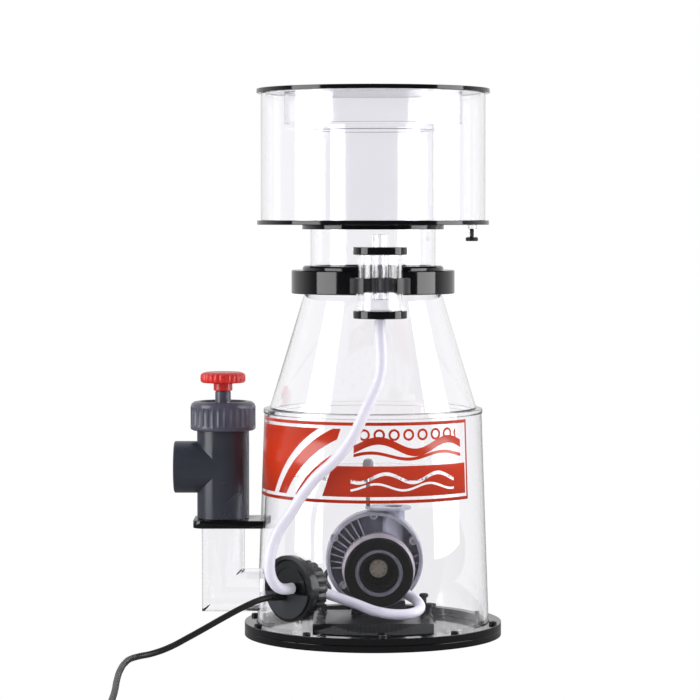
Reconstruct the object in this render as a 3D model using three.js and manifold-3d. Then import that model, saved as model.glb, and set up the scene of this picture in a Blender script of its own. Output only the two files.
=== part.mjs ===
// Internal protein skimmer for a reef aquarium sump.
// Millimetres, +Z up. The origin is the centre of the base plate's underside,
// +X points right, +Y points to the rear, and the water outlet stands on the -X side.
import * as THREE from 'three';
import { mergeVertices } from 'three/addons/utils/BufferGeometryUtils.js';
import Module from 'manifold-3d';

const wasm = await Module();
wasm.setup();

// ---- Driving dimensions ----
const GAP = 0.3;                       // glue line or running gap between neighbours
const WALL = 5;                        // acrylic tube wall
const SHEET = 5;                       // acrylic sheet for the cup's floor and lid

const BASE = { radius: 150, plate: 7.9, top: 16, screws: 10, screwCircle: 143, firstScrew: 4 };
const BODY = { bottomRadius: 135.6, topRadius: 126.5, bottom: 8.3, top: 259.7 };
const SHOULDER = { radius: 127.5, inner: 115, bottom: 260, top: 265 };
const CONE = { bottomRadius: 120.5, topRadius: 80, bottom: 265.3, top: 398.7 };
const COLLAR = { radius: 95, bottom: 399, top: 426, bore: 74, seat: 79.6, ledge: 406 };
const RISER = { radius: 72.7, wall: 4, bottom: 403, top: 594, rim: 75.5, rimHeight: 6 };
const CUP = { radius: 130.5, plateRadius: 135, bottom: 478.7, top: 631, flangeRadius: 82.5, flange: 5 };
const LID = { radius: 135.5, skirtRadius: 103.5, skirtWall: 4, skirtBottom: 595 };
const DRAIN = { x: 115, radius: 5.5, bore: 3.2, bottom: 464.3 };

const SILENCER = { x: 7, y: -122.5, radius: 25, wall: 3, capRadius: 30.5, bottom: 374, top: 454 };
const SILENCER_CAP = 8.5;              // thickness of each end disc
const CLIP = { radius: 34, bottom: 402, top: 419, mouth: 19 };
const FRONT_GAP = 53;                  // opening in the neck rings, where the silencer hangs
const HOSE = 12.5;                     // air hose diameter
const CABLE = 7;                       // power cable diameter
const MOTOR_LEAD = 6;                  // cable between the wall port and the motor

const PORT = { turn: -44, height: 66, face: -139.7, radius: 38, barrel: 15.7 };
const PORT_HOSES = { outerX: 8.7, outerZ: 67.7, innerX: 7.5, innerZ: 59 };
const GLAND = { x: -5, z: 58, base: 5.5, tip: 4.2, length: 26 };
const COIL = { x: -223, y: -630, middle: 38.5, across: 2, high: 3 };

const PUMP = { x: 6.4, z: 79 };        // impeller axis, running front to back
const VOLUTE = { x: 1.6, z: 90, radius: 56.5, front: -26, back: 8, wall: 4 };
const INTAKE = { radius: 39.5, bore: 27.3, front: -62, back: -49, throat: 19 };
const AIR_STUB = { y: -38, reach: 25, tilt: 40, length: 9 };   // hose stub under the intake's right side
const MOTOR = { radius: 45, bore: 17, front: 8.3, back: 98 };
const PUMP_OUT = { x: 23.8, y: -9, radius: 13.3, bore: 10.8, flangeX: 17.6, flangeRadius: 26.5 };
const STAND = { width: 139, depth: 118, bottom: 8.2, tray: 20, cradle: 36 };
const BUBBLE_PLATE = { radius: 100, bottom: 188, top: 192, postX: -5.8, postRadius: 2.5 };

const OUTLET = { x: -175, pipe: 25, bore: 22, legZ: 52, plateBottom: 127, plateTop: 136 };
const TEE = { radius: 30.3, bore: 25.2, top: 239, branchZ: 196, branchEnd: -232 };
const UNION = { radius: 38, top: 273, ribs: 34 };
const VALVE = { stem: 9.2, hub: 11, wheel: 26.3, wheelBottom: 294, wheelTop: 307, lobes: 24 };

// ---- Solids: closed meshes, and joins and cuts between them ----
function closedMesh(geometry) {
  const bare = geometry.clone();
  bare.deleteAttribute('normal');
  bare.deleteAttribute('uv');
  const merged = mergeVertices(bare, 1e-4);
  const corners = merged.index.array;
  const faces = [];
  for (let i = 0; i < corners.length; i += 3) {
    const [a, b, c] = corners.slice(i, i + 3);
    if (a !== b && b !== c && c !== a) faces.push(a, b, c);
  }
  const a = new THREE.Vector3();
  const b = new THREE.Vector3();
  const c = new THREE.Vector3();
  let volume = 0;
  for (let i = 0; i < faces.length; i += 3) {
    a.fromBufferAttribute(merged.attributes.position, faces[i]);
    b.fromBufferAttribute(merged.attributes.position, faces[i + 1]);
    c.fromBufferAttribute(merged.attributes.position, faces[i + 2]);
    volume += a.dot(b.cross(c));
  }
  if (volume < 0) {
    for (let i = 0; i < faces.length; i += 3) [faces[i], faces[i + 1]] = [faces[i + 1], faces[i]];
  }
  merged.setIndex(faces);
  return merged;
}

function toSolid(geometry) {
  const mesh = closedMesh(geometry);
  return new wasm.Manifold(new wasm.Mesh({
    numProp: 3,
    vertProperties: new Float32Array(mesh.attributes.position.array),
    triVerts: new Uint32Array(mesh.index.array),
  }));
}

function toGeometry(solid) {
  const mesh = solid.getMesh();
  const geometry = new THREE.BufferGeometry();
  geometry.setAttribute('position', new THREE.BufferAttribute(new Float32Array(mesh.vertProperties), 3));
  geometry.setIndex([...mesh.triVerts]);
  return geometry;
}

const join = (...pieces) => toGeometry(pieces.map(toSolid).reduce((all, piece) => all.add(piece)));
const cut = (body, ...tools) => toGeometry(
  tools.map(toSolid).reduce((rest, tool) => rest.subtract(tool), toSolid(body)),
);
const common = (a, b) => toGeometry(toSolid(a).intersect(toSolid(b)));

// Turned about +Z from [radius, height] corners; a profile off the axis closes on itself.
function turned(corners, sides = 40) {
  const onAxis = corners[0][0] === 0;
  const profile = (onAxis ? corners : [...corners, corners[0]]).map(([r, z]) => new THREE.Vector2(r, z));
  return new THREE.LatheGeometry(profile, sides).rotateX(Math.PI / 2);
}
const rod = (radius, from, to, sides = 20) => turned(
  [[0, from], [radius, from], [radius, to], [0, to]], sides,
);
const tube = (outer, inner, from, to, sides = 40) => turned(
  [[inner, from], [outer, from], [outer, to], [inner, to]], sides,
);
const toRear = (geometry) => geometry.rotateX(-Math.PI / 2);       // +Z becomes +Y
const toRight = (geometry) => geometry.rotateY(Math.PI / 2);       // +Z becomes +X
const block = (x, y, z, cx, cy, cz) => new THREE.BoxGeometry(x, y, z).translate(cx, cy, cz);

// Flat outline of [x, y] corners, raised to a height.
function plate(outline, bottom, top) {
  const shape = new THREE.Shape(outline.map(([x, y]) => new THREE.Vector2(x, y)));
  const depth = top - bottom;
  return new THREE.ExtrudeGeometry(shape, { depth, bevelEnabled: false }).translate(0, 0, bottom);
}

// Round outline whose edge waves in and out, for grips.
function flutedPlate(radius, wave, lobes, bottom, top, pointsPerLobe = 2) {
  const count = lobes * pointsPerLobe;
  const outline = Array.from({ length: count }, (_, i) => {
    const angle = (i / count) * Math.PI * 2;
    const r = radius - wave * (0.5 - 0.5 * Math.cos(angle * lobes));
    return [r * Math.cos(angle), r * Math.sin(angle)];
  });
  return plate(outline, bottom, top);
}

// Round hose or cable along hand-chosen points.
function flexible(points, diameter, steps, halfSides) {
  const curve = new THREE.CatmullRomCurve3(points.map((p) => new THREE.Vector3(...p)), false, 'centripetal');
  const section = new THREE.Shape().absarc(0, 0, diameter / 2, 0, Math.PI * 2);
  return new THREE.ExtrudeGeometry(section, { steps, extrudePath: curve, curveSegments: halfSides });
}

// Ribbed stub that a hose pushes onto, along +Z from the origin.
function hoseBarb(length) {
  const teeth = [[0, 0], [4.4, 0]];
  for (let z = 1; z + 3 < length; z += 3) teeth.push([4.4, z], [5.2, z], [4.2, z + 3]);
  return turned([...teeth, [4.2, length], [0, length]], 10);
}

// Solid frustum that follows the tapered body wall, used to shape what sits against it.
const bodyRadiusAt = (z) => BODY.bottomRadius
  + (BODY.topRadius - BODY.bottomRadius) * (z - BODY.bottom) / (BODY.top - BODY.bottom);
const bodyCore = (from, to, offset) => turned(
  [[0, from], [bodyRadiusAt(from) + offset, from], [bodyRadiusAt(to) + offset, to], [0, to]], 40,
);

// ---- Materials ----
const surface = (color, roughness, metalness = 0, extra = {}) => new THREE.MeshStandardMaterial({
  color, roughness, metalness, ...extra,
});
const CLEAR = surface(0xf4f5f7, 0.05, 0, { transparent: true, opacity: 0.3 });
const BLACK_ACRYLIC = surface(0x0b0b0d, 0.12);
const BLACK_PLASTIC = surface(0x17181a, 0.4);
const GREY_PVC = surface(0x3b4046, 0.45);
const RED_PLASTIC = surface(0xd0211b, 0.35);
const RUBBER = surface(0x1d1d1e, 0.8);
const SILICONE = surface(0xe6e7e9, 0.35, 0, { transparent: true, opacity: 0.7 });
const SMOKE = surface(0x8f8fa0, 0.3, 0, { transparent: true, opacity: 0.7 });
const GREY_PLASTIC = surface(0x55585e, 0.4);
const NYLON = surface(0x1c1c1e, 0.35);
const IVORY = surface(0xd8c7a6, 0.5);
const FERRITE = surface(0x3a3a3c, 0.3, 0.2);
const CABLE_PVC = surface(0x121214, 0.5);

function part(name, geometry, material) {
  const mesh = new THREE.Mesh(closedMesh(geometry), material);
  mesh.name = name;
  return mesh;
}

// ---- Base: plate, seal and flange, held by a ring of nylon screws ----
const screwAngles = Array.from({ length: BASE.screws }, (_, i) => THREE.MathUtils.degToRad(
  -90 + BASE.firstScrew + i * 360 / BASE.screws,
));
const onScrewCircle = (geometry, angle) => geometry.translate(
  BASE.screwCircle * Math.cos(angle), BASE.screwCircle * Math.sin(angle), 0,
);

function makeBase() {
  const base = new THREE.Group();
  const seal = { inner: 136.6, outer: 139.6, depth: 2 };
  const disc = turned([
    [0, 0], [BASE.radius, 0], [BASE.radius, BASE.plate], [seal.outer, BASE.plate],
    [seal.outer, BASE.plate - seal.depth], [seal.inner, BASE.plate - seal.depth],
    [seal.inner, BASE.plate], [0, BASE.plate],
  ], 48);
  const blindHoles = screwAngles.map((angle) => onScrewCircle(rod(2.6, 2, 20, 6), angle));
  const through = screwAngles.map((angle) => onScrewCircle(rod(2.6, -1, 20, 6), angle));
  const flange = tube(BASE.radius, BODY.bottomRadius + GAP, BASE.plate + 0.4, BASE.top, 48);
  base.add(
    part('base_plate', cut(disc, ...blindHoles), BLACK_ACRYLIC),
    part('base_seal', tube(seal.outer - GAP, seal.inner + GAP, BASE.plate - seal.depth + GAP / 2,
      BASE.plate + GAP / 3, 48), RUBBER),
    part('body_flange', cut(flange, ...through), BLACK_ACRYLIC),
  );
  screwAngles.forEach((angle, i) => {
    const screw = turned([
      [0, 2.5], [2.2, 2.5], [2.2, BASE.top + GAP], [4.5, BASE.top + GAP],
      [4.5, BASE.top + 3.4], [0, BASE.top + 3.4],
    ], 8);
    base.add(part(`flange_screw_${String(i + 1).padStart(2, '0')}`, onScrewCircle(screw, angle), NYLON));
  });
  return base;
}

// ---- Clear reaction body: tapered wall, shoulder ring and cone ----
function makeBody() {
  const body = new THREE.Group();
  const wall = turned([
    [BODY.bottomRadius - WALL, BODY.bottom], [BODY.bottomRadius, BODY.bottom],
    [BODY.topRadius, BODY.top], [BODY.topRadius - WALL, BODY.top],
  ]);
  const outletHole = toRight(rod(OUTLET.pipe + GAP, -160, -110)).translate(0, 0, OUTLET.legZ);
  const portHole = toRear(rod(PORT.barrel + GAP, -160, -110)).translate(0, 0, PORT.height)
    .rotateZ(THREE.MathUtils.degToRad(PORT.turn));
  const cone = turned([
    [CONE.bottomRadius - WALL, CONE.bottom], [CONE.bottomRadius, CONE.bottom],
    [CONE.topRadius, CONE.top], [CONE.topRadius - WALL, CONE.top],
  ]);
  body.add(
    part('body_shell', cut(wall, outletHole, portHole), CLEAR),
    part('shoulder_ring', tube(SHOULDER.radius, SHOULDER.inner, SHOULDER.bottom, SHOULDER.top), CLEAR),
    part('cone', cone, CLEAR),
  );
  return body;
}

// ---- Neck joint: socket collar, seal and the ring that squeezes it, both rings open at the front ----
function makeNeck() {
  const neck = new THREE.Group();
  const collar = turned([
    [COLLAR.bore, COLLAR.bottom], [COLLAR.radius - 1.5, COLLAR.bottom], [COLLAR.radius, COLLAR.bottom + 1.5],
    [COLLAR.radius, COLLAR.top - 1.5], [COLLAR.radius - 1.5, COLLAR.top], [COLLAR.seat, COLLAR.top],
    [COLLAR.seat, COLLAR.ledge], [COLLAR.bore, COLLAR.ledge],
  ]);
  const lipTop = COLLAR.top + 5;
  const lockRing = turned([
    [COLLAR.bore, COLLAR.ledge + 6], [COLLAR.seat - GAP, COLLAR.ledge + 6],
    [COLLAR.seat - GAP, COLLAR.top + GAP], [82, COLLAR.top + GAP],
    [82, lipTop - 2], [80, lipTop], [COLLAR.bore, lipTop],
  ]);
  const frontGap = block(FRONT_GAP, 60, 60, SILENCER.x, -80, COLLAR.top);
  neck.add(
    part('neck_collar', cut(collar, frontGap), BLACK_ACRYLIC),
    part('neck_seal', tube(COLLAR.seat - GAP, COLLAR.bore, COLLAR.ledge + GAP, COLLAR.ledge + 5, 28), RUBBER),
    part('lock_ring', cut(lockRing, frontGap), BLACK_ACRYLIC),
  );
  return neck;
}

// ---- Collection cup: riser, flange, floor and wall, with its drain ----
function makeCup() {
  const cup = new THREE.Group();
  const bore = RISER.radius + GAP;
  const riserTube = turned([
    [RISER.radius - RISER.wall, RISER.bottom], [RISER.radius, RISER.bottom],
    [RISER.radius, RISER.top - RISER.rimHeight], [RISER.rim, RISER.top - RISER.rimHeight],
    [RISER.rim, RISER.top], [RISER.radius - RISER.wall, RISER.top],
  ]);
  const floorTop = CUP.bottom + SHEET;
  const drainHole = rod(DRAIN.bore, CUP.bottom - 1, floorTop + 1, 16).translate(DRAIN.x, 0, 0);
  const plug = turned([
    [0, 459.6], [7.2, 459.6], [7.2, 463], [6.2, 464], [2.6, 464], [2.6, 474], [0, 474],
  ], 20).translate(DRAIN.x, 0, 0);
  cup.add(
    part('riser_tube', riserTube, CLEAR),
    part('cup_flange', tube(CUP.flangeRadius, bore, CUP.bottom - CUP.flange - GAP, CUP.bottom - GAP),
      BLACK_ACRYLIC),
    part('cup_floor', cut(tube(CUP.plateRadius, bore, CUP.bottom, floorTop), drainHole), BLACK_ACRYLIC),
    part('cup_wall', tube(CUP.radius, CUP.radius - WALL, floorTop + GAP, CUP.top - GAP), CLEAR),
    part('drain_stub', tube(DRAIN.radius, DRAIN.bore, DRAIN.bottom, CUP.bottom - GAP, 20)
      .translate(DRAIN.x, 0, 0), CLEAR),
    part('drain_plug', plug, RUBBER),
  );
  return cup;
}

// ---- Lid: black disc with a clear locating skirt under it ----
function makeLid() {
  const lid = new THREE.Group();
  lid.add(
    part('lid_plate', rod(LID.radius, CUP.top, CUP.top + SHEET, 48), BLACK_ACRYLIC),
    part('lid_skirt', tube(LID.skirtRadius, LID.skirtRadius - LID.skirtWall, LID.skirtBottom,
      CUP.top - GAP), CLEAR),
  );
  return lid;
}

// ---- Air silencer: clear chamber between two black discs, clipped to the collar ----
function makeSilencer() {
  const silencer = new THREE.Group();
  silencer.position.set(SILENCER.x, SILENCER.y, 0);
  const chamberBottom = SILENCER.bottom + SILENCER_CAP;
  const chamberTop = SILENCER.top - SILENCER_CAP;
  const inlet = { radius: 8.8, bore: 4.2, bottom: 395, top: 468 };
  const topCap = cut(
    rod(SILENCER.capRadius, chamberTop, SILENCER.top, 28),
    rod(inlet.radius + GAP, chamberTop - 1, SILENCER.top + 1, 16),
  );
  const mouth = block(CLIP.mouth * 2, 40, 30, 0, -30, (CLIP.bottom + CLIP.top) / 2);
  const collarSide = rod(COLLAR.radius + GAP, CLIP.bottom - 1, CLIP.top + 1, 40)
    .translate(-SILENCER.x, -SILENCER.y, 0);
  const bore = rod(SILENCER.radius + GAP, CLIP.bottom - 1, CLIP.top + 1, 24);
  const arms = rod(CLIP.radius, CLIP.bottom, CLIP.top, 24);
  const bridge = block(CLIP.radius * 2, 22, CLIP.top - CLIP.bottom, 0, 23, (CLIP.bottom + CLIP.top) / 2);
  silencer.add(
    part('silencer_tube', tube(SILENCER.radius, SILENCER.radius - SILENCER.wall, chamberBottom + GAP,
      chamberTop - GAP, 28), CLEAR),
    part('silencer_top_cap', topCap, BLACK_ACRYLIC),
    part('silencer_base_cap', rod(SILENCER.capRadius, SILENCER.bottom, chamberBottom, 28), BLACK_ACRYLIC),
    part('silencer_inlet', tube(inlet.radius, inlet.bore, inlet.bottom, inlet.top, 16), CLEAR),
    part('silencer_barb', hoseBarb(8).rotateX(Math.PI).translate(0, 0, SILENCER.bottom - GAP), CLEAR),
    part('silencer_clip', cut(join(arms, bridge), bore, mouth, collarSide), BLACK_PLASTIC),
  );
  return silencer;
}

// ---- Wall port: flange, cover and nut that carry the air hose and the cable ----
function makePort() {
  const port = new THREE.Group();
  port.rotation.z = THREE.MathUtils.degToRad(PORT.turn);
  const centred = (geometry) => toRear(geometry).translate(0, 0, PORT.height);
  const inner = -108;
  const wallCore = (offset) => bodyCore(10, 150, offset);
  const flange = cut(centred(rod(PORT.radius, PORT.face, -115, 32)), wallCore(GAP));
  const barrel = centred(rod(PORT.barrel, PORT.face + 2, inner, 20));
  const glandSocket = toRear(rod(GLAND.base + GAP, PORT.face - 5, PORT.face + 4, 12))
    .translate(GLAND.x, 0, GLAND.z);
  const split = PORT.height - 5;
  const halfMoon = common(
    centred(rod(PORT.radius - 4, PORT.face - 2.8, PORT.face - GAP, 32)),
    block(100, 40, 60, 0, PORT.face, split - 30),
  );
  const outerBarb = toRear(hoseBarb(12).rotateX(Math.PI))
    .translate(PORT_HOSES.outerX, PORT.face + 0.5, PORT_HOSES.outerZ);
  const innerBarb = toRear(hoseBarb(7)).translate(PORT_HOSES.innerX, inner - 0.5, PORT_HOSES.innerZ);
  const coreInside = bodyCore(10, 150, -WALL - GAP);
  const nutBlank = centred(toNut(30, 36, inner + 4));
  port.add(
    part('port_flange', cut(join(flange, barrel, outerBarb, innerBarb), glandSocket), BLACK_PLASTIC),
    part('port_cover', cut(halfMoon, glandSocket), BLACK_PLASTIC),
    part('port_nut', common(nutBlank, coreInside), BLACK_PLASTIC),
    part('cable_strain_relief', toRear(turned([
      [0, 0], [GLAND.tip, 0], [GLAND.base, GLAND.length - 8], [GLAND.base, GLAND.length], [0, GLAND.length],
    ], 12)).translate(GLAND.x, PORT.face + 3.7 - GLAND.length, GLAND.z), RUBBER),
  );
  return port;
}

// Ribbed ring nut blank, along +Z up to a given height.
function toNut(radius, length, top) {
  return cut(
    flutedPlate(radius, 2.4, 16, top - length, top),
    rod(PORT.barrel + GAP, top - length - 1, top + 1, 20),
  );
}

// ---- Air hoses and power cable, each along its hand-laid route ----
const OUTER_HOSE_ROUTE = [
  [7, -122.5, 365.2], [7.4, -122.5, 350], [8.6, -122.6, 331], [7, -124.2, 311], [1, -128.8, 292],
  [-8.8, -134.6, 272.5], [-18, -137.2, 253], [-29.4, -136.4, 233], [-46, -133.2, 213],
  [-64.5, -128.2, 196], [-75.5, -125.2, 182], [-84.6, -123.4, 169], [-93, -123, 155.5],
  [-102.6, -125.2, 142], [-110.4, -128.8, 128], [-115.2, -132.2, 113], [-117.2, -134, 99],
  [-116.6, -133.2, 88], [-113, -129.4, 77.6], [-107, -123.2, 70.3], [-99.8, -115.8, 67.7],
];
const INNER_HOSE_ROUTE = [
  [-64.2, -77.3, 59], [-58, -71.4, 58.2], [-46, -68.2, 53.8], [-31, -68.2, 48.4], [-17, -69.8, 43.6],
  [-3.8, -72.8, 38.6], [9, -77.2, 35.8], [21, -81, 34.4], [32, -82.2, 34.2], [42.4, -79.6, 35],
  [49.6, -72.4, 36.6], [53.2, -62.6, 39.2], [52.4, -52.4, 42.8], [47.6, -44.4, 47],
  [40.2, -38.8, 50.9], [33.3, -38, 56.4],
];
const MOTOR_LEAD_ROUTE = [
  [-78.4, -74, 72], [-72.5, -67.9, 71.8], [-65.5, -60.2, 70], [-59, -51, 66], [-54.3, -39.5, 61],
  [-51.8, -26, 57], [-51.3, -11, 55], [-52.6, 3, 56], [-55.6, 16, 59], [-56.6, 27.5, 63],
  [-54.5, 38.1, 67.3], [-48.1, 46.7, 71], [-39.8, 51.2, 73.2],
];
const CABLE_ROUTE = [
  [-119.4, -116.3, 58], [-129, -124.6, 56.4], [-146, -133.6, 50], [-166, -142.6, 40.4],
  [-187, -151.8, 29.6], [-208, -161.4, 19], [-228, -171.6, 9.8], [-246, -182.6, 4.8],
  [-259, -195, 3.8], [-267, -212, 3.8], [-271, -240, 3.8], [-272.5, -290, 3.8],
  [-270.5, -360, 3.8], [-267, -430, 3.8], [-265.4, -500, 3.8], [-265, -560, 3.8], [-265, -603, 3.8],
];

function makeLines() {
  const lines = new THREE.Group();
  const coilRadius = COIL.across * CABLE / 2;
  const coil = tube(COIL.middle + coilRadius, COIL.middle - coilRadius, 0.2, 0.2 + COIL.high * CABLE, 24)
    .translate(COIL.x, COIL.y, 0);
  lines.add(
    part('air_hose_outer', flexible(OUTER_HOSE_ROUTE, HOSE, 18, 4), SILICONE),
    part('air_hose_inner', flexible(INNER_HOSE_ROUTE, HOSE - 0.5, 22, 4), SILICONE),
    part('power_cable', flexible(CABLE_ROUTE, CABLE, 28, 4), CABLE_PVC),
    part('motor_cable', flexible(MOTOR_LEAD_ROUTE, MOTOR_LEAD, 12, 4), CABLE_PVC),
    part('cable_coil', coil, CABLE_PVC),
    makePlug(),
  );
  return lines;
}

// Moulded two-pin mains plug lying flat beside the coil, pins towards +X.
function makePlug() {
  const plug = { length: 38, width: 26, height: 15, pin: 18 };
  const start = COIL.x + COIL.middle + 16;
  const body = plate([
    [start, -4.5], [start + 10, -7], [start + 16, -plug.width / 2], [start + plug.length, -plug.width / 2],
    [start + plug.length, plug.width / 2], [start + 16, plug.width / 2], [start + 10, 7], [start, 4.5],
  ], 0.3, plug.height);
  const blades = [-6.4, 6.4].map((y) => block(
    plug.pin, 1.6, 6.4, start + plug.length + plug.pin / 2 - 1, y, plug.height / 2,
  ));
  return part('mains_plug', join(body, ...blades).translate(0, COIL.y - COIL.middle, 0), CABLE_PVC);
}

// ---- Pump: volute, intake, canned motor and the needle-wheel rotor ----
function makePump() {
  const pump = new THREE.Group();
  const { x: vx, z: vz } = VOLUTE;
  const casing = toRear(rod(VOLUTE.radius, VOLUTE.front, VOLUTE.back, 36)).translate(vx, 0, vz);
  const chamber = toRear(rod(VOLUTE.radius - 5, VOLUTE.front + VOLUTE.wall, VOLUTE.back - VOLUTE.wall, 32))
    .translate(vx, 0, vz);
  const intakeHole = toRear(rod(INTAKE.bore, VOLUTE.front - 1, VOLUTE.front + VOLUTE.wall + 1, 28))
    .translate(PUMP.x, 0, PUMP.z);
  const shaftHole = toRear(rod(6, 0, VOLUTE.back + 1, 12)).translate(PUMP.x, 0, PUMP.z);
  const outletHole = rod(PUMP_OUT.radius + GAP, 120, 160, 20).translate(PUMP_OUT.x, PUMP_OUT.y, 0);
  const flangeBottom = 147;
  const outlet = cut(
    join(
      rod(PUMP_OUT.radius, 128, flangeBottom + 2, 20).translate(PUMP_OUT.x, PUMP_OUT.y, 0),
      rod(PUMP_OUT.flangeRadius, flangeBottom, flangeBottom + 4, 24)
        .translate(PUMP_OUT.flangeX, PUMP_OUT.y, 0),
    ),
    rod(PUMP_OUT.bore, 120, 160, 20).translate(PUMP_OUT.x, PUMP_OUT.y, 0),
  );
  const sleeve = toRear(tube(INTAKE.bore - GAP, INTAKE.throat, INTAKE.front - 1.5, VOLUTE.front + 2, 24));
  const barb = toRight(hoseBarb(AIR_STUB.length)).translate(AIR_STUB.reach, 0, 0)
    .rotateY(THREE.MathUtils.degToRad(AIR_STUB.tilt)).translate(0, AIR_STUB.y, 0);
  const centred = (geometry) => geometry.translate(PUMP.x, 0, PUMP.z);
  const can = turned([
    [6, MOTOR.front], [28, MOTOR.front], [30, MOTOR.front + 6], [MOTOR.radius, MOTOR.front + 10],
    [MOTOR.radius, MOTOR.back - 4], [MOTOR.radius - 4, MOTOR.back], [0, MOTOR.back],
    [0, MOTOR.back - 12], [MOTOR.bore, MOTOR.back - 12], [MOTOR.bore, MOTOR.front + 8], [6, MOTOR.front + 8],
  ], 28);
  pump.add(
    part('pump_volute', cut(casing, chamber, intakeHole, shaftHole, outletHole), SMOKE),
    part('pump_intake_ring', centred(toRear(tube(INTAKE.radius, INTAKE.bore, INTAKE.front, INTAKE.back, 32))),
      BLACK_PLASTIC),
    part('pump_intake_sleeve', centred(join(sleeve, barb)), GREY_PLASTIC),
    part('motor_can', centred(toRear(can)), BLACK_PLASTIC),
    part('pump_outlet_pipe', outlet, SMOKE),
    ...makeRotor(centred),
    makeStand(),
  );
  return pump;
}

function makeRotor(centred) {
  const shaftRadius = 2.5;
  const hub = toRear(rod(10.5, -20, -6, 16));
  const disc = toRear(rod(24, -9, -6, 20));
  const pins = [];
  for (const [circle, count] of [[15.5, 6], [21, 10]]) {
    for (let i = 0; i < count; i += 1) {
      const angle = (i / count) * Math.PI * 2;
      pins.push(toRear(rod(1.5, -19, -8, 5))
        .translate(circle * Math.cos(angle), 0, circle * Math.sin(angle)));
    }
  }
  const magnet = turned([
    [0, -5.7], [shaftRadius, -5.7], [shaftRadius, MOTOR.front + 10], [MOTOR.bore - 1.2, MOTOR.front + 10],
    [MOTOR.bore - 1.2, MOTOR.back - 16], [0, MOTOR.back - 16],
  ], 20);
  return [
    part('needle_wheel', centred(join(disc, hub, ...pins)), IVORY),
    part('magnet_rotor', centred(toRear(magnet)), FERRITE),
  ];
}

// Tray under the pump with a cradle that follows the motor can.
function makeStand() {
  const trayHeight = STAND.tray - STAND.bottom;
  const tray = block(STAND.width, STAND.depth, trayHeight, 0, 1, STAND.bottom + trayHeight / 2);
  const lap = 4;                       // how far the cradle reaches down into the tray
  const cradle = block(64, 62, STAND.cradle - STAND.tray + lap, PUMP.x, 48,
    (STAND.cradle + STAND.tray - lap) / 2);
  const can = toRear(rod(MOTOR.radius + GAP, -10, 110, 28)).translate(PUMP.x, 0, PUMP.z);
  return part('pump_stand', cut(join(tray, cradle), can), BLACK_PLASTIC);
}

// ---- Bubble plate on its post above the pump ----
function makeBubblePlate() {
  const group = new THREE.Group();
  const { radius, bottom, top, postX, postRadius } = BUBBLE_PLATE;
  const hole = rod(postRadius + GAP, bottom - 1, top + 1, 12).translate(postX, PUMP_OUT.y, 0);
  const post = turned([
    [0, 151.3], [postRadius, 151.3], [postRadius, top + GAP], [6.4, top + GAP],
    [6.4, top + 12], [0, top + 15],
  ], 12).translate(postX, PUMP_OUT.y, 0);
  group.add(
    part('bubble_plate', cut(rod(radius, bottom, top, 40), hole), CLEAR),
    part('bubble_plate_post', post, GREY_PLASTIC),
  );
  return group;
}

// ---- Outlet: mitred clear elbow, shelf, grey tee and its sliding-gate valve ----
function makeOutlet() {
  const outlet = new THREE.Group();
  outlet.position.x = OUTLET.x;
  const wallX = -OUTLET.x;
  const legEnd = 49;
  const lap = 0.4;                     // the two legs overlap a little at the mitre
  const mitred = (radius) => {
    const big = 60;
    const upright = common(
      rod(radius, OUTLET.legZ - big, OUTLET.plateBottom - GAP, 20),
      plate([[-big, -big - lap], [big, big - lap], [big, 140], [-big, 140]], -big, big)
        .rotateX(Math.PI / 2).translate(0, 0, OUTLET.legZ),
    );
    const level = common(
      toRight(rod(radius, -big, legEnd, 20)).translate(0, 0, OUTLET.legZ),
      plate([[-big, -big], [big, -big], [big, big]], -big, big)
        .rotateX(Math.PI / 2).translate(0, 0, OUTLET.legZ),
    );
    return join(upright, level);
  };
  const longer = rod(OUTLET.bore, OUTLET.plateBottom - 5, OUTLET.plateBottom + 5, 20);
  const further = toRight(rod(OUTLET.bore, legEnd - 5, legEnd + 5, 20)).translate(0, 0, OUTLET.legZ);
  const elbow = cut(mitred(OUTLET.pipe), mitred(OUTLET.bore), longer, further);

  const half = 34;
  const corner = 12;
  const shelfOutline = [[wallX - 110, -half], [wallX - 110, half], [-half + corner, half]];
  for (let step = 1; step < 5; step += 1) {
    const angle = Math.PI / 2 * (1 + step / 5);
    shelfOutline.push([-half + corner + corner * Math.cos(angle), half - corner + corner * Math.sin(angle)]);
  }
  shelfOutline.push([-half, half - corner], [-half, corner - half]);
  for (let step = 1; step < 5; step += 1) {
    const angle = Math.PI * (1 + step / 10);
    shelfOutline.push([-half + corner + corner * Math.cos(angle), corner - half + corner * Math.sin(angle)]);
  }
  shelfOutline.push([-half + corner, -half]);
  const shelf = cut(
    plate(shelfOutline, OUTLET.plateBottom, OUTLET.plateTop),
    bodyCore(110, 150, GAP).translate(wallX, 0, 0),
    rod(OUTLET.bore, 120, 140, 20),
  );

  const teeBottom = OUTLET.plateTop + GAP;
  const branchLength = TEE.branchEnd - OUTLET.x;
  const barrel = join(
    rod(TEE.radius, teeBottom, TEE.top, 24),
    toRight(rod(TEE.radius, branchLength, 0, 24)).translate(0, 0, TEE.branchZ),
  );
  const tee = cut(
    barrel,
    rod(TEE.bore, teeBottom - 1, TEE.top + 1, 24),
    toRight(rod(TEE.bore, branchLength - 1, 0, 24)).translate(0, 0, TEE.branchZ),
  );
  outlet.add(
    part('outlet_elbow', elbow, CLEAR),
    part('outlet_shelf', shelf, BLACK_ACRYLIC),
    part('outlet_tee', tee, GREY_PVC),
    ...makeValve(),
  );
  return outlet;
}

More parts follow.
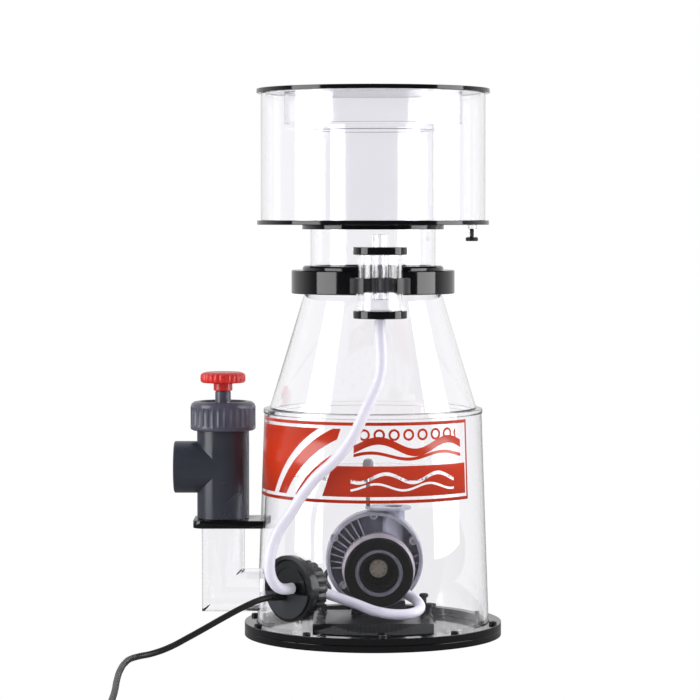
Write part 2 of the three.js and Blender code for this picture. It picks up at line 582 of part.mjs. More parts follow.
// The stem turns in the union nut and drives the gate up and down inside the tee.
function makeValve() {
  const nutBottom = TEE.top + GAP;
  const nut = cut(
    flutedPlate(UNION.radius, 1.6, UNION.ribs, nutBottom, UNION.top),
    rod(VALVE.stem + GAP, nutBottom - 1, UNION.top + 1, 20),
  );
  const stemTop = VALVE.wheelBottom - 9;
  const stem = turned([
    [0, 185], [5, 185], [5, nutBottom - GAP], [VALVE.stem, nutBottom - GAP],
    [VALVE.stem, stemTop], [0, stemTop],
  ], 20);
  const wheel = join(
    rod(VALVE.hub, stemTop + GAP, VALVE.wheelBottom + 1, 24),
    flutedPlate(VALVE.wheel, 1, VALVE.lobes, VALVE.wheelBottom, VALVE.wheelTop - 2),
    rod(VALVE.wheel - 6, VALVE.wheelTop - 3, VALVE.wheelTop, 24),
  );
  const gate = turned([
    [TEE.bore - 4, 150], [TEE.bore - 0.6, 150], [TEE.bore - 0.6, 205], [5.6, 205], [5.6, 201],
    [TEE.bore - 4, 201],
  ], 24);
  return [
    part('union_nut', nut, GREY_PVC),
    part('valve_stem', stem, GREY_PVC),
    part('valve_gate', gate, GREY_PVC),
    part('valve_knob', wheel, RED_PLASTIC),
  ];
}

// ---- Assembly ----
const skimmer = new THREE.Group();
skimmer.add(
  makeBase(), makeBody(), makeNeck(), makeCup(), makeLid(), makeSilencer(), makePort(), makeLines(),
  makePump(), makeBubblePlate(), makeOutlet(),
);

export default skimmer;
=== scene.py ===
import math

import bmesh
import bpy
from mathutils import Matrix, Vector


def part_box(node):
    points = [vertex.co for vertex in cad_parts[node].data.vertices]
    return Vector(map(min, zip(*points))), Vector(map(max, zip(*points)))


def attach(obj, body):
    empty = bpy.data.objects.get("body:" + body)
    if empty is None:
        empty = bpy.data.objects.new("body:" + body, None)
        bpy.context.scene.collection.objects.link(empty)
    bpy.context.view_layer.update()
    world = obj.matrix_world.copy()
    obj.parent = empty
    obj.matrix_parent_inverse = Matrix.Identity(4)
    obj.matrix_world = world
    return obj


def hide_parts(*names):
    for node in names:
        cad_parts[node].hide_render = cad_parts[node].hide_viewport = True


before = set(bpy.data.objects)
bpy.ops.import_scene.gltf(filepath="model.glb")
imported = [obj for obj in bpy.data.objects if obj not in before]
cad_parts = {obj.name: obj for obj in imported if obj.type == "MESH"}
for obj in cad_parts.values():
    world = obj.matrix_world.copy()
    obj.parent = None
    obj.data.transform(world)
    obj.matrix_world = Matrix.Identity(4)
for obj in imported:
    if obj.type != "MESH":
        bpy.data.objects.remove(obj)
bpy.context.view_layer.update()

scene = bpy.context.scene
MM = 0.001

# ---- Camera and picture ----
# A long lens a little above the neck of the skimmer, looking slightly down at it. The picture is
# developed without a film curve, so a white sweep stays white, and light may cross many clear walls.
lens = bpy.data.cameras.new("studio_camera")
lens.lens = 145.7
camera = bpy.data.objects.new("studio_camera", lens)
camera.location = (-0.0268, -3.3, 0.490)
camera.rotation_euler = (math.radians(90 - 2.73), 0, 0)
scene.collection.objects.link(camera)
scene.camera = camera
scene.view_settings.view_transform = "Standard"
scene.cycles.max_bounces = 28
scene.cycles.transmission_bounces = 28
scene.cycles.transparent_max_bounces = 28

# ---- Studio: white sweep, floor and two tall softboxes ----
# The sweep is white behind and through the clear walls. In reflections it is white behind the
# skimmer and dark in front of it, which keeps the glossy black acrylic black.
AMBIENT = 0.62
DARK_SIDE = 0.05
INNER_DARK_SIDE = 0.4
BRIGHT_SIDE = 0.75


def add_node(tree, kind, values, **settings):
    """A shader node, with numbers, colours or other nodes' outputs in its inputs."""
    node = tree.nodes.new("ShaderNode" + kind)
    for name, value in settings.items():
        setattr(node, name, value)
    for socket, value in values.items():
        if isinstance(value, bpy.types.NodeSocket):
            tree.links.new(value, node.inputs[socket])
        else:
            node.inputs[socket].default_value = value
    return node


def calculate(tree, operation, first, second=0.0, clamp=False):
    """A Math node between sockets or plain numbers."""
    node = add_node(tree, "Math", {0: first, 1: second}, operation=operation, use_clamp=clamp)
    return node.outputs["Value"]


def mirrored_inside(tree, rays):
    """1 for light that has been mirrored before, as inside a clear wall."""
    return calculate(tree, "GREATER_THAN", rays.outputs["Glossy Depth"], 0.5)


def seen_directly(tree, rays):
    """1 for light that reaches the camera straight or through clear walls."""
    return calculate(tree, "MAXIMUM", rays.outputs["Is Camera Ray"], rays.outputs["Is Transmission Ray"])


studio = bpy.data.worlds.new("studio_sweep")
studio.use_nodes = True
scene.world = studio
sky = studio.node_tree
rays = add_node(sky, "LightPath", {})
heading = add_node(sky, "TexCoord", {}).outputs["Generated"]
backwards = add_node(sky, "SeparateXYZ", {"Vector": heading}).outputs["Y"]
fade = add_node(
    sky, "MapRange",
    {"Value": backwards, "From Min": -0.15, "From Max": 0.6, "To Min": DARK_SIDE, "To Max": BRIGHT_SIDE},
    interpolation_type="SMOOTHSTEP",
)
seen_in_gloss = add_node(sky, "Mix", {
    "Factor": rays.outputs["Is Glossy Ray"], "A": AMBIENT, "B": fade.outputs["Result"],
})
# Light that has been mirrored inside a clear wall sees the dark front of the studio too.
inner_fade = add_node(sky, "MapRange", {
    "Value": backwards, "From Min": -0.75, "From Max": -0.25, "To Min": INNER_DARK_SIDE,
})
seen_through = add_node(sky, "Mix", {
    "Factor": mirrored_inside(sky, rays), "A": 1.0, "B": inner_fade.outputs["Result"],
})
brightness = add_node(sky, "Mix", {
    "Factor": seen_directly(sky, rays), "A": seen_in_gloss.outputs["Result"],
    "B": seen_through.outputs["Result"],
})
sky.links.new(brightness.outputs["Result"], sky.nodes["Background"].inputs["Strength"])
sky.nodes["Background"].inputs["Color"].default_value = (1, 1, 1, 1)


def stage_material(seen, in_gloss):
    """Pale sweep paint: one brightness looked at straight, another in reflections."""
    paint = bpy.data.materials.new("sweep_paint")
    paint.use_nodes = True
    tree = paint.node_tree
    tree.nodes.remove(tree.nodes["Principled BSDF"])
    rays = add_node(tree, "LightPath", {})
    matte = add_node(tree, "BsdfDiffuse", {"Color": (0.85, 0.85, 0.85, 1)}).outputs["BSDF"]
    straight = add_node(tree, "Emission", {"Strength": seen}).outputs["Emission"]
    mirrored = add_node(tree, "Emission", {"Strength": in_gloss}).outputs["Emission"]
    mirrored_before = mirrored_inside(tree, rays)
    in_mirror = calculate(tree, "MAXIMUM", rays.outputs["Is Glossy Ray"], mirrored_before)
    place = add_node(tree, "TexCoord", {}).outputs["Object"]
    place_parts = add_node(tree, "SeparateXYZ", {"Vector": place})
    in_front = calculate(tree, "LESS_THAN", place_parts.outputs["Y"], -0.4)
    dimmed = calculate(tree, "MULTIPLY", in_front, mirrored_before)
    looked_at = calculate(tree, "SUBTRACT", seen_directly(tree, rays), dimmed, clamp=True)
    lit = add_node(tree, "MixShader", {"Fac": in_mirror, 1: matte, 2: mirrored}).outputs["Shader"]
    whole = add_node(tree, "MixShader", {"Fac": looked_at, 1: lit, 2: straight}).outputs["Shader"]
    tree.links.new(whole, tree.nodes["Material Output"].inputs["Surface"])
    return paint


floor_shape = bmesh.new()
bmesh.ops.create_grid(floor_shape, x_segments=1, y_segments=1, size=8)
bmesh.ops.translate(floor_shape, verts=floor_shape.verts, vec=(0, 0, -0.2 * MM))
floor_mesh = bpy.data.meshes.new("floor")
floor_shape.to_mesh(floor_mesh)
floor_shape.free()
floor_mesh.materials.append(stage_material(1.0, 0.22))
floor = bpy.data.objects.new("floor", floor_mesh)
scene.collection.objects.link(floor)

SOFTBOX_DISTANCE = 1.7
for side, bearing, width, power in (("left", -68, 0.98, 34), ("right", 79, 0.98, 34)):
    box = bpy.data.lights.new("softbox_" + side, "AREA")
    box.shape = "RECTANGLE"
    box.size = width
    box.size_y = 2.2
    box.energy = power
    lamp = bpy.data.objects.new("softbox_" + side, box)
    turn = math.radians(bearing)
    lamp.location = (SOFTBOX_DISTANCE * math.sin(turn), -SOFTBOX_DISTANCE * math.cos(turn), 0.62)
    lamp.rotation_euler = (math.radians(90), 0, turn)
    lamp.visible_camera = False
    scene.collection.objects.link(lamp)

# ---- Cables and air hoses ----
# A round PVC mains cable and a thin lead to the motor, and silicone air hose from the silencer to
# the wall port and on to the pump. The mains cable is wound into a storage coil before its plug.


def new_group(name, inputs, outputs):
    """Empty shader node group with named sockets: (name, kind, default) in and (name, kind) out."""
    group = bpy.data.node_groups.new(name, "ShaderNodeTree")
    for label, kind, default in inputs:
        socket = group.interface.new_socket(name=label, in_out="INPUT", socket_type="NodeSocket" + kind)
        socket.default_value = default
    for label, kind in outputs:
        group.interface.new_socket(name=label, in_out="OUTPUT", socket_type="NodeSocket" + kind)
    return group, group.nodes.new("NodeGroupInput"), group.nodes.new("NodeGroupOutput")


def noise(tree, vector, scale, detail):
    """Noise between 0 and 1 that reads the given coordinates."""
    return add_node(tree, "TexNoise", {"Vector": vector, "Scale": scale, "Detail": detail}).outputs["Fac"]


# Moulded plastic: patchy shade, uneven gloss and a fine grain, all over the object's own space.
moulded, moulded_in, moulded_out = new_group(
    "moulded_plastic",
    [("Color", "Color", (0.5, 0.5, 0.5, 1)), ("Patchiness", "Float", 0.1), ("Roughness", "Float", 0.4),
     ("Grain", "Float", 900.0)],
    [("Color", "Color"), ("Roughness", "Float"), ("Height", "Float")],
)
place = moulded.nodes.new("ShaderNodeTexCoord").outputs["Object"]
patches = noise(moulded, place, 26.0, 4.0)
grain = noise(moulded, place, moulded_in.outputs["Grain"], 3.0)
swing = calculate(moulded, "SUBTRACT", patches, 0.5)
shade = calculate(moulded, "MULTIPLY", swing, moulded_in.outputs["Patchiness"])
shade = calculate(moulded, "ADD", calculate(moulded, "MULTIPLY", shade, 2.0), 1.0)
shaded = add_node(moulded, "VectorMath", {0: moulded_in.outputs["Color"], "Scale": shade}, operation="SCALE")
moulded.links.new(shaded.outputs["Vector"], moulded_out.inputs["Color"])
gloss = calculate(moulded, "MULTIPLY", swing, 0.16)
gloss = calculate(moulded, "ADD", moulded_in.outputs["Roughness"], gloss)
moulded.links.new(calculate(moulded, "MAXIMUM", gloss, 0.02), moulded_out.inputs["Roughness"])
moulded.links.new(grain, moulded_out.inputs["Height"])


def add_skin(material, group, values, relief, depth):
    """Runs a pattern group into a material's roughness and bump."""
    tree = material.node_tree
    shader = tree.nodes["Principled BSDF"]
    skin = add_node(tree, "Group", values, node_tree=group)
    bump = add_node(tree, "Bump", {"Strength": relief, "Distance": depth, "Height": skin.outputs["Height"]})
    tree.links.new(skin.outputs["Roughness"], shader.inputs["Roughness"])
    tree.links.new(bump.outputs["Normal"], shader.inputs["Normal"])
    return skin, shader


def plastic(name, color, roughness=0.4, patchiness=0.12, grain=900.0, relief=0.05, specular=0.5):
    """Opaque moulded material in one colour."""
    material = bpy.data.materials.new(name)
    material.use_nodes = True
    values = {"Color": (*color, 1), "Patchiness": patchiness, "Roughness": roughness, "Grain": grain}
    skin, shader = add_skin(material, moulded, values, relief, 0.2 * MM)
    material.node_tree.links.new(skin.outputs["Color"], shader.inputs["Base Color"])
    shader.inputs["IOR"].default_value = 1.46
    shader.inputs["Specular IOR Level"].default_value = specular
    return material


def on_body(piece, slot, *nodes, body="skimmer_body"):
    """Fixes a piece to a CAD body and hides the CAD nodes it stands for. The slot is not used."""
    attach(piece, body)
    if nodes:
        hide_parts(*nodes)
    return piece


def line(name, route, diameter, material):
    """Round cord on one smooth curve through points in millimetres."""
    curve = bpy.data.curves.new(name, "CURVE")
    curve.dimensions = "3D"
    curve.bevel_depth = diameter / 2 * MM
    curve.bevel_resolution = 5
    curve.resolution_u = 6
    curve.use_fill_caps = True
    spline = curve.splines.new("BEZIER")
    spline.bezier_points.add(len(route) - 1)
    for knot, point in zip(spline.bezier_points, route):
        knot.co = Vector(point) * MM
        knot.handle_left_type = "AUTO"
        knot.handle_right_type = "AUTO"
    curve.materials.append(material)
    piece = bpy.data.objects.new(name, curve)
    scene.collection.objects.link(piece)
    return piece


CABLE = 7
MOTOR_LEAD = 6
HOSE = 12.5
coil_low, coil_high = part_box("cable_coil")
coil_x, coil_y = ((coil_low + coil_high) / 2 / MM).xy
CABLE_ROUTE = [
    [-117.4, -114.3, 58], [-129, -124.6, 56.4], [-146, -133.6, 50], [-166, -142.6, 40.4],
    [-187, -151.8, 29.6], [-208, -161.4, 19], [-228, -171.6, 9.8], [-246, -182.6, 4.8],
    [-259, -195, 3.8], [-267, -212, 3.8], [-271, -240, 3.8], [-272.5, -290, 3.8],
    [-270.5, -360, 3.8], [-267, -430, 3.8], [-265.4, -500, 3.8], [-265, -560, 3.8], [-265, -603, 3.8],
]
COIL_TAIL = [[15, -41.8, 15.8], [31, -40.6, 11], [45, -39.1, 8.4], [55.5, -38.5, 7.7]]
# The cable winds anticlockwise: outer then inner column on the floor, inner then outer on the
# second layer, and half a turn on the third. Each row is angle, radius and height at a change.
COIL_STAGES = [
    (180, 42, 3.8), (510, 42, 3.8), (540, 35, 3.8), (840, 35, 3.8), (870, 35, 10.8), (1170, 35, 10.8),
    (1200, 42, 10.8), (1500, 42, 10.8), (1530, 42, 17.8), (1710, 42, 17.8),
]
coil_turns = []
for (start, radius, height), (end, next_radius, next_height) in zip(COIL_STAGES, COIL_STAGES[1:]):
    steps = max(2, round((end - start) / 15))
    for step in range(steps):
        part_way = step / steps
        angle = math.radians(start + (end - start) * part_way)
        reach = radius + (next_radius - radius) * part_way
        coil_turns.append([
            coil_x + reach * math.cos(angle), coil_y + reach * math.sin(angle),
            height + (next_height - height) * part_way,
        ])
tail = [[coil_x + x, coil_y + y, z] for x, y, z in COIL_TAIL]

cable_sheath = plastic("cable_sheath", (0.012, 0.012, 0.013), roughness=0.42, grain=1400.0)
mains_cable = on_body(
    line("mains_cable", CABLE_ROUTE + coil_turns + tail, CABLE, cable_sheath),
    "cable_pvc", "power_cable", "cable_coil",
)

MOTOR_LEAD_ROUTE = [
    [-78.4, -74, 72], [-72.5, -67.9, 71.8], [-65.5, -60.2, 70], [-59, -51, 66], [-54.3, -39.5, 61],
    [-51.8, -26, 57], [-51.3, -11, 55], [-52.6, 3, 56], [-55.6, 16, 59], [-56.6, 27.5, 63],
    [-54.5, 38.1, 67.3], [-48.1, 46.7, 71], [-39.8, 51.2, 73.2],
]
motor_lead = line("motor_lead", MOTOR_LEAD_ROUTE, MOTOR_LEAD, cable_sheath)
on_body(motor_lead, "cable_pvc", "motor_cable")
Vector(MOTOR_LEAD_ROUTE[0]) * MM

silicone = plastic("silicone", (0.72, 0.70, 0.80), roughness=0.28, patchiness=0.03, grain=300.0, relief=0.02)
silicone_shader = silicone.node_tree.nodes["Principled BSDF"]
silicone_shader.inputs["Subsurface Weight"].default_value = 0.3
silicone_shader.inputs["Subsurface Radius"].default_value = (0.01, 0.01, 0.012)
silicone_shader.inputs["Subsurface Scale"].default_value = 0.4
OUTER_HOSE_ROUTE = [
    [7, -122.5, 372.6], [7, -122.5, 365.2], [7.4, -122.5, 350], [8.6, -122.6, 331], [7, -124.2, 311],
    [1, -128.8, 292], [-8.8, -134.6, 272.5], [-18, -137.2, 253], [-29.4, -136.4, 233], [-46, -133.2, 213],
    [-64.5, -128.2, 196], [-75.5, -125.2, 182], [-84.6, -123.4, 169], [-93, -123, 155.5],
    [-102.6, -125.2, 142], [-110.4, -128.8, 128], [-115.2, -132.2, 113], [-117.2, -134, 99],
    [-116.6, -133.2, 88], [-113, -129.4, 77.6], [-107, -123.2, 70.3], [-99.8, -115.8, 67.7],
    [-92.4, -108.3, 67.7],
]
INNER_HOSE_ROUTE = [
    [-67, -80.2, 59], [-64.2, -77.3, 59], [-58, -71.4, 58.2], [-46, -68.2, 53.8], [-31, -68.2, 48.4],
    [-17, -69.8, 43.6], [-3.8, -72.8, 38.6], [9, -77.2, 35.8], [21, -81, 34.4], [32, -82.2, 34.2],
    [42.4, -79.6, 35], [49.6, -72.4, 36.6], [53.2, -62.6, 39.2], [52.4, -52.4, 42.8], [47.6, -44.4, 47],
    [40.2, -38.8, 50.9], [33.3, -38, 56.4], [29, -38, 60],
]
for name, route, diameter, length, node in (
    ("outer_air_hose", OUTER_HOSE_ROUTE, HOSE, 0.37, "air_hose_outer"),
    ("inner_air_hose", INNER_HOSE_ROUTE, HOSE - 0.5, 0.19, "air_hose_inner"),
):
    hose = on_body(line(name, route, diameter, silicone), "silicone", node)
    Vector(route[0]) * MM

# ---- Mains plug ----
# A moulded two-pin plug in the cable's own PVC, with two flat nickel-plated pins.


def link_mesh(name, shape, material, bevel=0.0, segments=2):
    """Makes a bmesh an object, smooth with finely rounded edges."""
    mesh = bpy.data.meshes.new(name)
    for face in shape.faces:
        face.smooth = True
    shape.to_mesh(mesh)
    shape.free()
    mesh.materials.append(material)
    piece = bpy.data.objects.new(name, mesh)
    scene.collection.objects.link(piece)
    if bevel:
        rounding = piece.modifiers.new("rounding", "BEVEL")
        rounding.width = bevel * MM
        rounding.segments = segments
        rounding.limit_method = "ANGLE"
        rounding.angle_limit = math.radians(30)
        rounding.harden_normals = True
    else:
        mesh.set_sharp_from_angle(angle=math.radians(32))
    return piece


def add_piece(name, shape, material, slot, *nodes, bevel=0.0, segments=2, body="skimmer_body"):
    """Makes a bmesh a piece of one body."""
    return on_body(link_mesh(name, shape, material, bevel, segments), slot, *nodes, body=body)


def corners(node):
    """Lowest and highest corner of a CAD node's box, in millimetres."""
    return [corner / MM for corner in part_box(node)]


def copied(node):
    """Merged copy of a CAD node, with the triangles of each flat face joined up."""
    shape = bmesh.new()
    shape.from_mesh(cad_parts[node].data)
    bmesh.ops.remove_doubles(shape, verts=shape.verts, dist=0.01 * MM)
    bmesh.ops.dissolve_limit(shape, angle_limit=math.radians(0.5), verts=shape.verts, edges=shape.edges)
    bmesh.ops.recalc_face_normals(shape, faces=shape.faces)
    return shape


def block(low, high):
    """Upright block between two corners in millimetres."""
    shape = bmesh.new()
    bmesh.ops.create_cube(shape, size=MM)
    bmesh.ops.scale(shape, verts=shape.verts, vec=[b - a for a, b in zip(low, high)])
    bmesh.ops.translate(shape, verts=shape.verts, vec=[(a + b) / 2 * MM for a, b in zip(low, high)])
    return shape


plug_low, plug_high = corners("mains_plug")
plug_y = (plug_low.y + plug_high.y) / 2
PIN_LENGTH = 17
plug_shape = copied("mains_plug")
bmesh.ops.bisect_plane(
    plug_shape, geom=[*plug_shape.verts, *plug_shape.edges, *plug_shape.faces], clear_outer=True,
    plane_co=((plug_high.x - PIN_LENGTH) * MM, 0, 0), plane_no=(1, 0, 0),
)
bmesh.ops.holes_fill(plug_shape, edges=plug_shape.edges)
bmesh.ops.recalc_face_normals(plug_shape, faces=plug_shape.faces)
plug = add_piece("plug_body", plug_shape, cable_sheath, "cable_pvc", "mains_plug", bevel=2.2, segments=4)
nickel = plastic("nickel_plate", (0.62, 0.60, 0.56), roughness=0.22, patchiness=0.04, relief=0.02)
nickel.node_tree.nodes["Principled BSDF"].inputs["Metallic"].default_value = 1.0
for number, offset in enumerate((-6.4, 6.4), start=1):
    pin_y = plug_y + offset
    pin = block((plug_high.x - PIN_LENGTH - 2, pin_y - 0.8, 4.3), (plug_high.x, pin_y + 0.8, 10.7))
    add_piece(f"plug_pin_{number}", pin, nickel, "cable_pvc", bevel=0.5)

# ---- Cable strain relief ----
# A tapered rubber sleeve with bend rings, pressed into the wall port where the cable comes out.


def spun(profile, steps=128, place=None):
    """Turns (radius, height) corners in millimetres about the upright axis, then places the shape.
    A profile that starts off the axis is closed on itself."""
    shape = bmesh.new()
    corners = [shape.verts.new((radius * MM, 0, height * MM)) for radius, height in profile]
    edges = [shape.edges.new(pair) for pair in zip(corners, corners[1:])]
    if profile[0][0] > 0:
        edges.append(shape.edges.new((corners[-1], corners[0])))
    bmesh.ops.spin(
        shape, geom=corners + edges, cent=(0, 0, 0), axis=(0, 0, 1), angle=math.tau, steps=steps,
        use_merge=True,
    )
    bmesh.ops.remove_doubles(shape, verts=shape.verts, dist=0.002 * MM)
    bmesh.ops.recalc_face_normals(shape, faces=shape.faces)
    if place is not None:
        bmesh.ops.transform(shape, matrix=place, verts=shape.verts)
    return shape


def rod(radius, low, high, steps=96, place=None):
    """Round bar between two heights."""
    return spun([(0, low), (radius, low), (radius, high), (0, high)], steps, place)


def ring(outer, inner, low, high, steps=128, place=None):
    """Round tube between two heights."""
    return spun([(inner, low), (outer, low), (outer, high), (inner, high)], steps, place)


def at(x, y, z=0.0):
    """Move by millimetres."""
    return Matrix.Translation(Vector((x, y, z)) * MM)


TO_REAR = Matrix.Rotation(math.radians(-90), 4, "X")
TO_RIGHT = Matrix.Rotation(math.radians(90), 4, "Y")
PORT_TURN = -44
PORT_HEIGHT = 66
GLAND_X = -5
GLAND_Z = 58
port_place = Matrix.Rotation(math.radians(PORT_TURN), 4, "Z")
gland_place = port_place @ at(GLAND_X, 0, GLAND_Z) @ TO_REAR
rubber = plastic("rubber", (0.012, 0.012, 0.012), roughness=0.62, patchiness=0.2, grain=1200.0, relief=0.1)
RELIEF_START = -162
RELIEF_END = -136
relief_profile = [(0, RELIEF_START), (3.9, RELIEF_START)]
for number in range(5):
    step = RELIEF_START + 1 + number * 3.6
    wide = 4.2 + 0.26 * number
    relief_profile += [(wide, step), (wide, step + 2.2), (wide - 0.8, step + 2.4), (wide - 0.8, step + 3.4)]
relief_profile += [(5.5, RELIEF_START + 19.4), (5.5, RELIEF_END), (0, RELIEF_END)]
strain_relief = add_piece(
    "bend_relief", spun(relief_profile, 48, gland_place), rubber, "black_rubber", "cable_strain_relief",
    bevel=0.2,
)

# ---- Base: plate, seal, flange and screws ----
# Two discs of black cast acrylic with polished edges. A rubber ring lies in a groove between them,
# and ten nylon socket screws pull the flange down on it.

# Cast acrylic: faint polishing marks that change the gloss, and a very slight waviness.
polish, polish_in, polish_out = new_group(
    "polished_acrylic",
    [("Roughness", "Float", 0.05), ("Marks", "Float", 0.05)],
    [("Roughness", "Float"), ("Height", "Float")],
)
place = polish.nodes.new("ShaderNodeTexCoord").outputs["Object"]
stretched = add_node(polish, "Mapping", {"Vector": place, "Scale": (1.0, 1.0, 14.0)})
marks = noise(polish, stretched.outputs["Vector"], 30.0, 5.0)
marks = calculate(polish, "MULTIPLY", marks, polish_in.outputs["Marks"])
polish.links.new(
    calculate(polish, "ADD", polish_in.outputs["Roughness"], marks), polish_out.inputs["Roughness"],
)
polish.links.new(noise(polish, place, 9.0, 1.0), polish_out.inputs["Height"])


def acrylic(name, color, roughness, marks, waviness):
    """Polished cast acrylic, and the shader that its own finish is set on."""
    material = bpy.data.materials.new(name)
    material.use_nodes = True
    _, shader = add_skin(material, polish, {"Roughness": roughness, "Marks": marks}, waviness, MM)
    shader.inputs["Base Color"].default_value = (*color, 1)
    shader.inputs["IOR"].default_value = 1.49
    return material, shader


black_acrylic, _ = acrylic("black_acrylic", (0.0035, 0.0035, 0.0045), 0.05, 0.06, 0.04)


def upright(node):
    """Centre x and y, radius, bottom and top of an upright round CAD node, in millimetres."""
    low, high = corners(node)
    return (low.x + high.x) / 2, (low.y + high.y) / 2, (high.x - low.x) / 2, low.z, high.z


_, _, base_radius, base_bottom, base_top = upright("base_plate")
add_piece(
    "base_disc", rod(base_radius, base_bottom, base_top - 0.1, 160), black_acrylic, "black_acrylic",
    "base_plate", bevel=0.6, segments=3,
)
_, _, flange_radius, flange_bottom, flange_top = upright("body_flange")
shell_low, shell_high = corners("body_shell")
add_piece(
    "flange_ring", ring(flange_radius, shell_high.x + 0.3, flange_bottom - 0.2, flange_top, 160),
    black_acrylic, "black_acrylic", "body_flange", bevel=0.6, segments=3,
)
seal_radius = upright("base_seal")[2]
SEAL_WIDTH = 3.0
seal_ring = ring(seal_radius, seal_radius - SEAL_WIDTH, base_top - 2, base_top + 0.1, 96)
add_piece("flange_seal", seal_ring, rubber, "black_rubber", "base_seal", bevel=0.5)


def scratch_object(shape):
    """Short-lived object for one cut or join."""
    mesh = bpy.data.meshes.new("scratch")
    shape.to_mesh(mesh)
    shape.free()
    piece = bpy.data.objects.new("scratch", mesh)
    scene.collection.objects.link(piece)
    return piece


def carved(shape, cuts=(), joins=()):
    """The shape with others joined on, and then others cut away, one at a time."""
    for operation, others in (("UNION", joins), ("DIFFERENCE", cuts)):
        for other in others:
            body, tool = scratch_object(shape), scratch_object(other)
            step = body.modifiers.new("step", "BOOLEAN")
            step.operation = operation
            step.solver = "EXACT"
            step.object = tool
            bpy.context.view_layer.update()
            finished = body.evaluated_get(bpy.context.evaluated_depsgraph_get())
            shape = bmesh.new()
            shape.from_mesh(finished.data)
            bmesh.ops.remove_doubles(shape, verts=shape.verts, dist=0.002 * MM)
            for scratch in (body, tool):
                mesh = scratch.data
                bpy.data.objects.remove(scratch)
                bpy.data.meshes.remove(mesh)
    return shape


def merged(shapes):
    """Several separate shapes in one."""
    together = bmesh.new()
    for shape in shapes:
        mesh = bpy.data.meshes.new("scratch")
        shape.to_mesh(mesh)
        shape.free()
        together.from_mesh(mesh)
        bpy.data.meshes.remove(mesh)
    return together


nylon = plastic("black_nylon", (0.012, 0.012, 0.013), roughness=0.3, grain=1500.0)
screws = sorted(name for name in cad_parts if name.startswith("flange_screw_"))
for number, node in enumerate(screws, start=1):
    x, y, head, foot, top = upright(node)
    screw = carved(
        spun([(0, foot), (2.2, foot), (2.2, flange_top), (head, flange_top), (head, top - 0.7),
              (head - 0.7, top), (0, top)], 40, at(x, y)),
        cuts=[rod(2.1, top - 1.9, top + 1, 6, at(x, y))],
    )
    add_piece(f"socket_screw_{number:02d}", screw, nylon, "black_plastic", node, bevel=0.2)

# ---- Clear reaction body: tapered wall, shoulder ring and cone ----
# Thermoformed and glued clear acrylic, 5 mm thick. The wall has one hole for the outlet elbow and
# one for the wall port, and is glued into the flange.


def add_clearness(material, shader, tint):
    """Makes acrylic see-through, and lets light pass it, so that its shadows stay faint."""
    shader.inputs["Transmission Weight"].default_value = 1.0
    tree = material.node_tree
    shadow = add_node(tree, "LightPath", {}).outputs["Is Shadow Ray"]
    passing = add_node(tree, "BsdfTransparent", {"Color": (*tint, 1)}).outputs["BSDF"]
    mixed = add_node(tree, "MixShader", {"Fac": shadow, 1: shader.outputs["BSDF"], 2: passing})
    tree.links.new(mixed.outputs["Shader"], tree.nodes["Material Output"].inputs["Surface"])


WALL = 5
CLEAR_TINT = (0.980, 0.976, 0.993)
clear_acrylic, clear_shader = acrylic("clear_acrylic", CLEAR_TINT, 0.0, 0.015, 0.06)
add_clearness(clear_acrylic, clear_shader, CLEAR_TINT)
shell_bottom = shell_low.z
shell_top = shell_high.z
shell_foot_radius = shell_high.x
_, _, shoulder_radius, shoulder_bottom, shoulder_top = upright("shoulder_ring")
shell_head_radius = shoulder_radius - 1
taper = (shell_head_radius - shell_foot_radius) / (shell_top - shell_bottom)


def shell_radius(height):
    """Outside radius of the tapered wall."""
    return shell_foot_radius + taper * (height - shell_bottom)


_, _, _, elbow_bottom, elbow_top = upright("outlet_elbow")
elbow_low, elbow_high = corners("outlet_elbow")
ELBOW_PIPE = (elbow_high.y - elbow_low.y) / 2
leg_height = elbow_bottom + ELBOW_PIPE
PORT_BARREL = 15.7
wall_blank = spun([
    (shell_foot_radius - WALL, shell_bottom), (shell_foot_radius, shell_bottom),
    (shell_head_radius, shell_top), (shell_head_radius - WALL, shell_top),
], 160)
wall = carved(wall_blank, cuts=[
    rod(ELBOW_PIPE + 0.3, -160, -110, 96, at(0, 0, leg_height) @ TO_RIGHT),
    rod(PORT_BARREL + 0.3, -160, -110, 64, port_place @ at(0, 0, PORT_HEIGHT) @ TO_REAR),
])
add_piece("clear_wall", wall, clear_acrylic, "clear_acrylic", "body_shell", bevel=0.4)
shoulder = ring(shoulder_radius, 115, shoulder_bottom - 0.2, shoulder_top, 160)
add_piece("clear_shoulder", shoulder, clear_acrylic, "clear_acrylic", "shoulder_ring", bevel=0.5)
_, _, cone_radius, cone_bottom, cone_top = upright("cone")
CONE_NECK = 80
cone = spun([
    (cone_radius - WALL, cone_bottom - 0.2), (cone_radius, cone_bottom - 0.2), (CONE_NECK, cone_top),
    (CONE_NECK - WALL, cone_top),
], 160)
add_piece("clear_cone", cone, clear_acrylic, "clear_acrylic", "cone", bevel=0.4)

# ---- Printed label ----
# A clear film stuck round the front of the wall, printed in red with a frame, a wave band and a
# corner of swept stripes. The unprinted film is almost invisible.
LABEL_LEFT = -85
LABEL_RIGHT = 56
LABEL_BOTTOM = 166
LABEL_TOP = 257
LABEL_SPREAD = LABEL_RIGHT - LABEL_LEFT
LABEL_HEIGHT = LABEL_TOP - LABEL_BOTTOM
FILM = 0.25
label_shape = bmesh.new()
label_edge = [
    label_shape.verts.new(Vector((0, -(shell_radius(height) + FILM), height)) * MM)
    for height in (LABEL_BOTTOM, LABEL_TOP)
]
label_side = label_shape.edges.new(label_edge)
bmesh.ops.rotate(
    label_shape, verts=label_shape.verts, cent=(0, 0, 0),
    matrix=Matrix.Rotation(math.radians(LABEL_LEFT), 3, "Z"),
)
bmesh.ops.spin(
    label_shape, geom=label_edge + [label_side], cent=(0, 0, 0), axis=(0, 0, 1),
    angle=math.radians(LABEL_SPREAD), steps=72,
)
